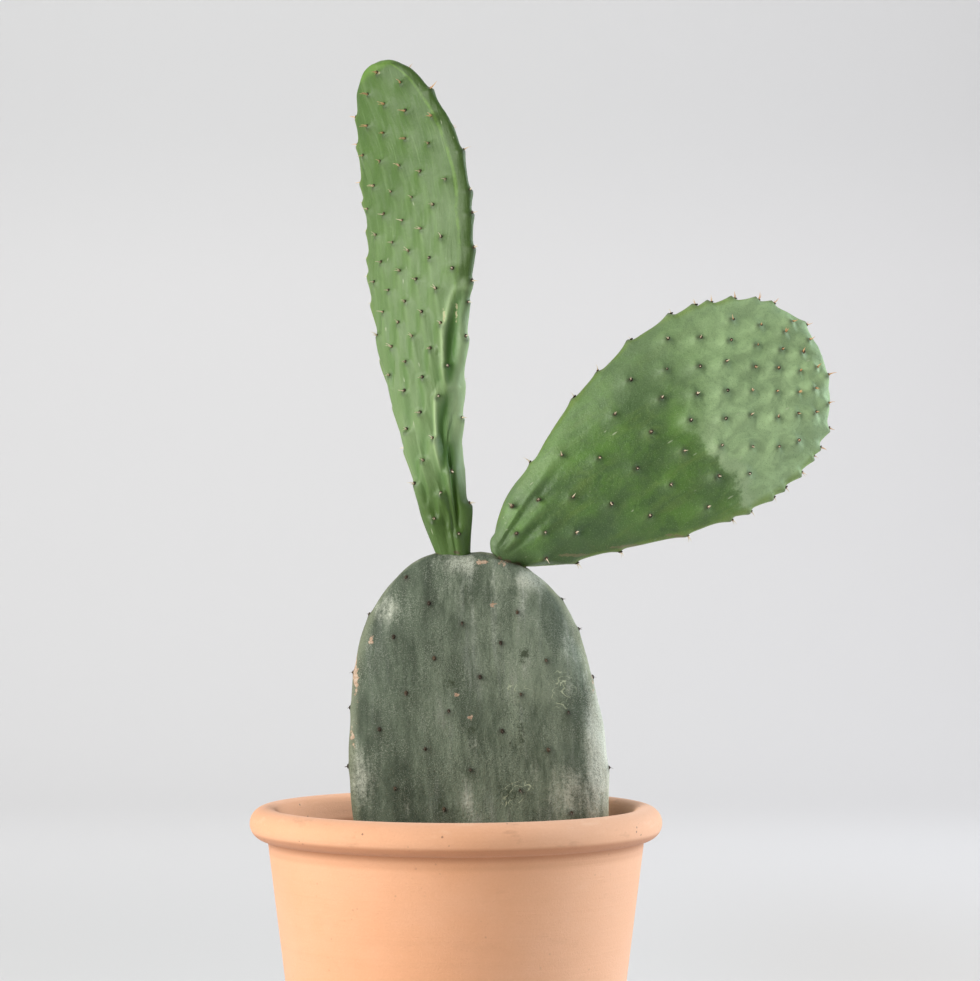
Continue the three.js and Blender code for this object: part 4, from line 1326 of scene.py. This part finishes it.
class CACTUS_OT_stage(bpy.types.Operator):
    """Set up the paper sweep, the three softboxes and the camera"""

    bl_idname = "cactus.stage"
    bl_label = "Stage"

    def execute(self, context):
        settings = context.scene.cactus_stage
        flat_to, bend, top, half_breadth = 2.2, 1.4, 4.5, 5.0
        turns = np.linspace(0.1, math.pi / 2, 16)
        profile = [(-4.0, 0.0), (flat_to, 0.0)]
        profile += [(flat_to + bend * math.sin(a), bend - bend * math.cos(a)) for a in turns]
        profile.append((flat_to + bend, top))
        points = [(x, y, z) for y, z in profile for x in (-half_breadth, half_breadth)]
        faces = [(2 * i, 2 * i + 1, 2 * i + 3, 2 * i + 2) for i in range(len(profile) - 1)]
        mesh = bpy.data.meshes.new("studio_sweep")
        mesh.from_pydata(points, [], faces)
        mesh.shade_smooth()
        mesh.materials.append(stage_finish())
        placed("studio_sweep", mesh)
        plant, paper = (0.02, 0.0, 0.3), (0.0, 3.2, 0.4)
        for kind, place, target, size, colour in (
            ("key", (-1.7, -0.9, 0.95), plant, (1.3, 1.7), (1.0, 0.985, 0.955)),
            ("fill", (1.75, 0.3, 0.8), plant, (1.1, 1.6), (0.90, 0.98, 1.08)),
            ("paper", (-0.3, 1.5, 2.6), paper, (3.2, 0.8), (1.0, 1.0, 1.0)),
        ):
            add_softbox(kind + "_softbox", place, target, size, getattr(settings, kind + "_power"), colour)
        self.add_world(context)
        self.add_camera(context, settings)
        return {"FINISHED"}

    def add_world(self, context):
        world = bpy.data.worlds.new("studio_air")
        world.use_nodes = True
        background = next(n for n in world.node_tree.nodes if n.type == "BACKGROUND")
        background.inputs["Color"].default_value = (1.0, 1.0, 1.0, 1.0)
        background.inputs["Strength"].default_value = context.scene.cactus_stage.air
        context.scene.world = world
        context.scene.view_settings.view_transform = "Standard"

    def add_camera(self, context, settings):
        data = bpy.data.cameras.new("photograph_camera")
        data.lens = settings.lens
        data.sensor_width = 36.0
        data.sensor_fit = "HORIZONTAL"
        data.clip_end = 50.0
        camera = placed("photograph_camera", data)
        camera.location = (settings.camera_aside, -settings.camera_distance, settings.camera_height)
        camera.rotation_euler = (math.pi / 2, 0.0, 0.0)
        context.scene.camera = camera


def add_softbox(name, place, target, size, power, colour):
    data = bpy.data.lights.new(name, "AREA")
    data.shape = "RECTANGLE"
    data.size, data.size_y = size
    data.energy = power
    data.color = colour
    light = placed(name, data)
    light.location = place
    aim = Vector(target) - Vector(place)
    light.rotation_euler = aim.to_track_quat("-Z", "Y").to_euler()


class CACTUS_PT_panel(bpy.types.Panel):
    """Lists the cactus's parts and what can be changed on them"""

    bl_label = "Paddle cactus"
    bl_idname = "CACTUS_PT_panel"
    bl_space_type = "VIEW_3D"
    bl_region_type = "UI"
    bl_category = "Cactus"

    def draw(self, context):
        for label in SETTINGS:
            group = getattr(context.scene, label)
            box = self.layout.box()
            for prop in group.bl_rna.properties:
                if prop.identifier not in {"rna_type", "name"}:
                    box.prop(group, prop.identifier)
        for operator in OPERATORS:
            self.layout.operator(operator.bl_idname)


OPERATORS = (CACTUS_OT_pot, CACTUS_OT_soil, CACTUS_OT_pads, CACTUS_OT_areoles, CACTUS_OT_stage)


def register():
    for group in SETTINGS.values():
        bpy.utils.register_class(group)
    for label, group in SETTINGS.items():
        setattr(bpy.types.Scene, label, PointerProperty(type=group))
    for cls in (*OPERATORS, CACTUS_PT_panel):
        bpy.utils.register_class(cls)


def unregister():
    for cls in reversed((*OPERATORS, CACTUS_PT_panel)):
        bpy.utils.unregister_class(cls)
    for label in SETTINGS:
        delattr(bpy.types.Scene, label)
    for group in reversed(list(SETTINGS.values())):
        bpy.utils.unregister_class(group)


def main():
    register()
    bpy.ops.cactus.pot()
    bpy.ops.cactus.soil()
    bpy.ops.cactus.pads()
    bpy.ops.cactus.areoles()
    bpy.ops.cactus.stage()


if __name__ == "__main__":
    main()
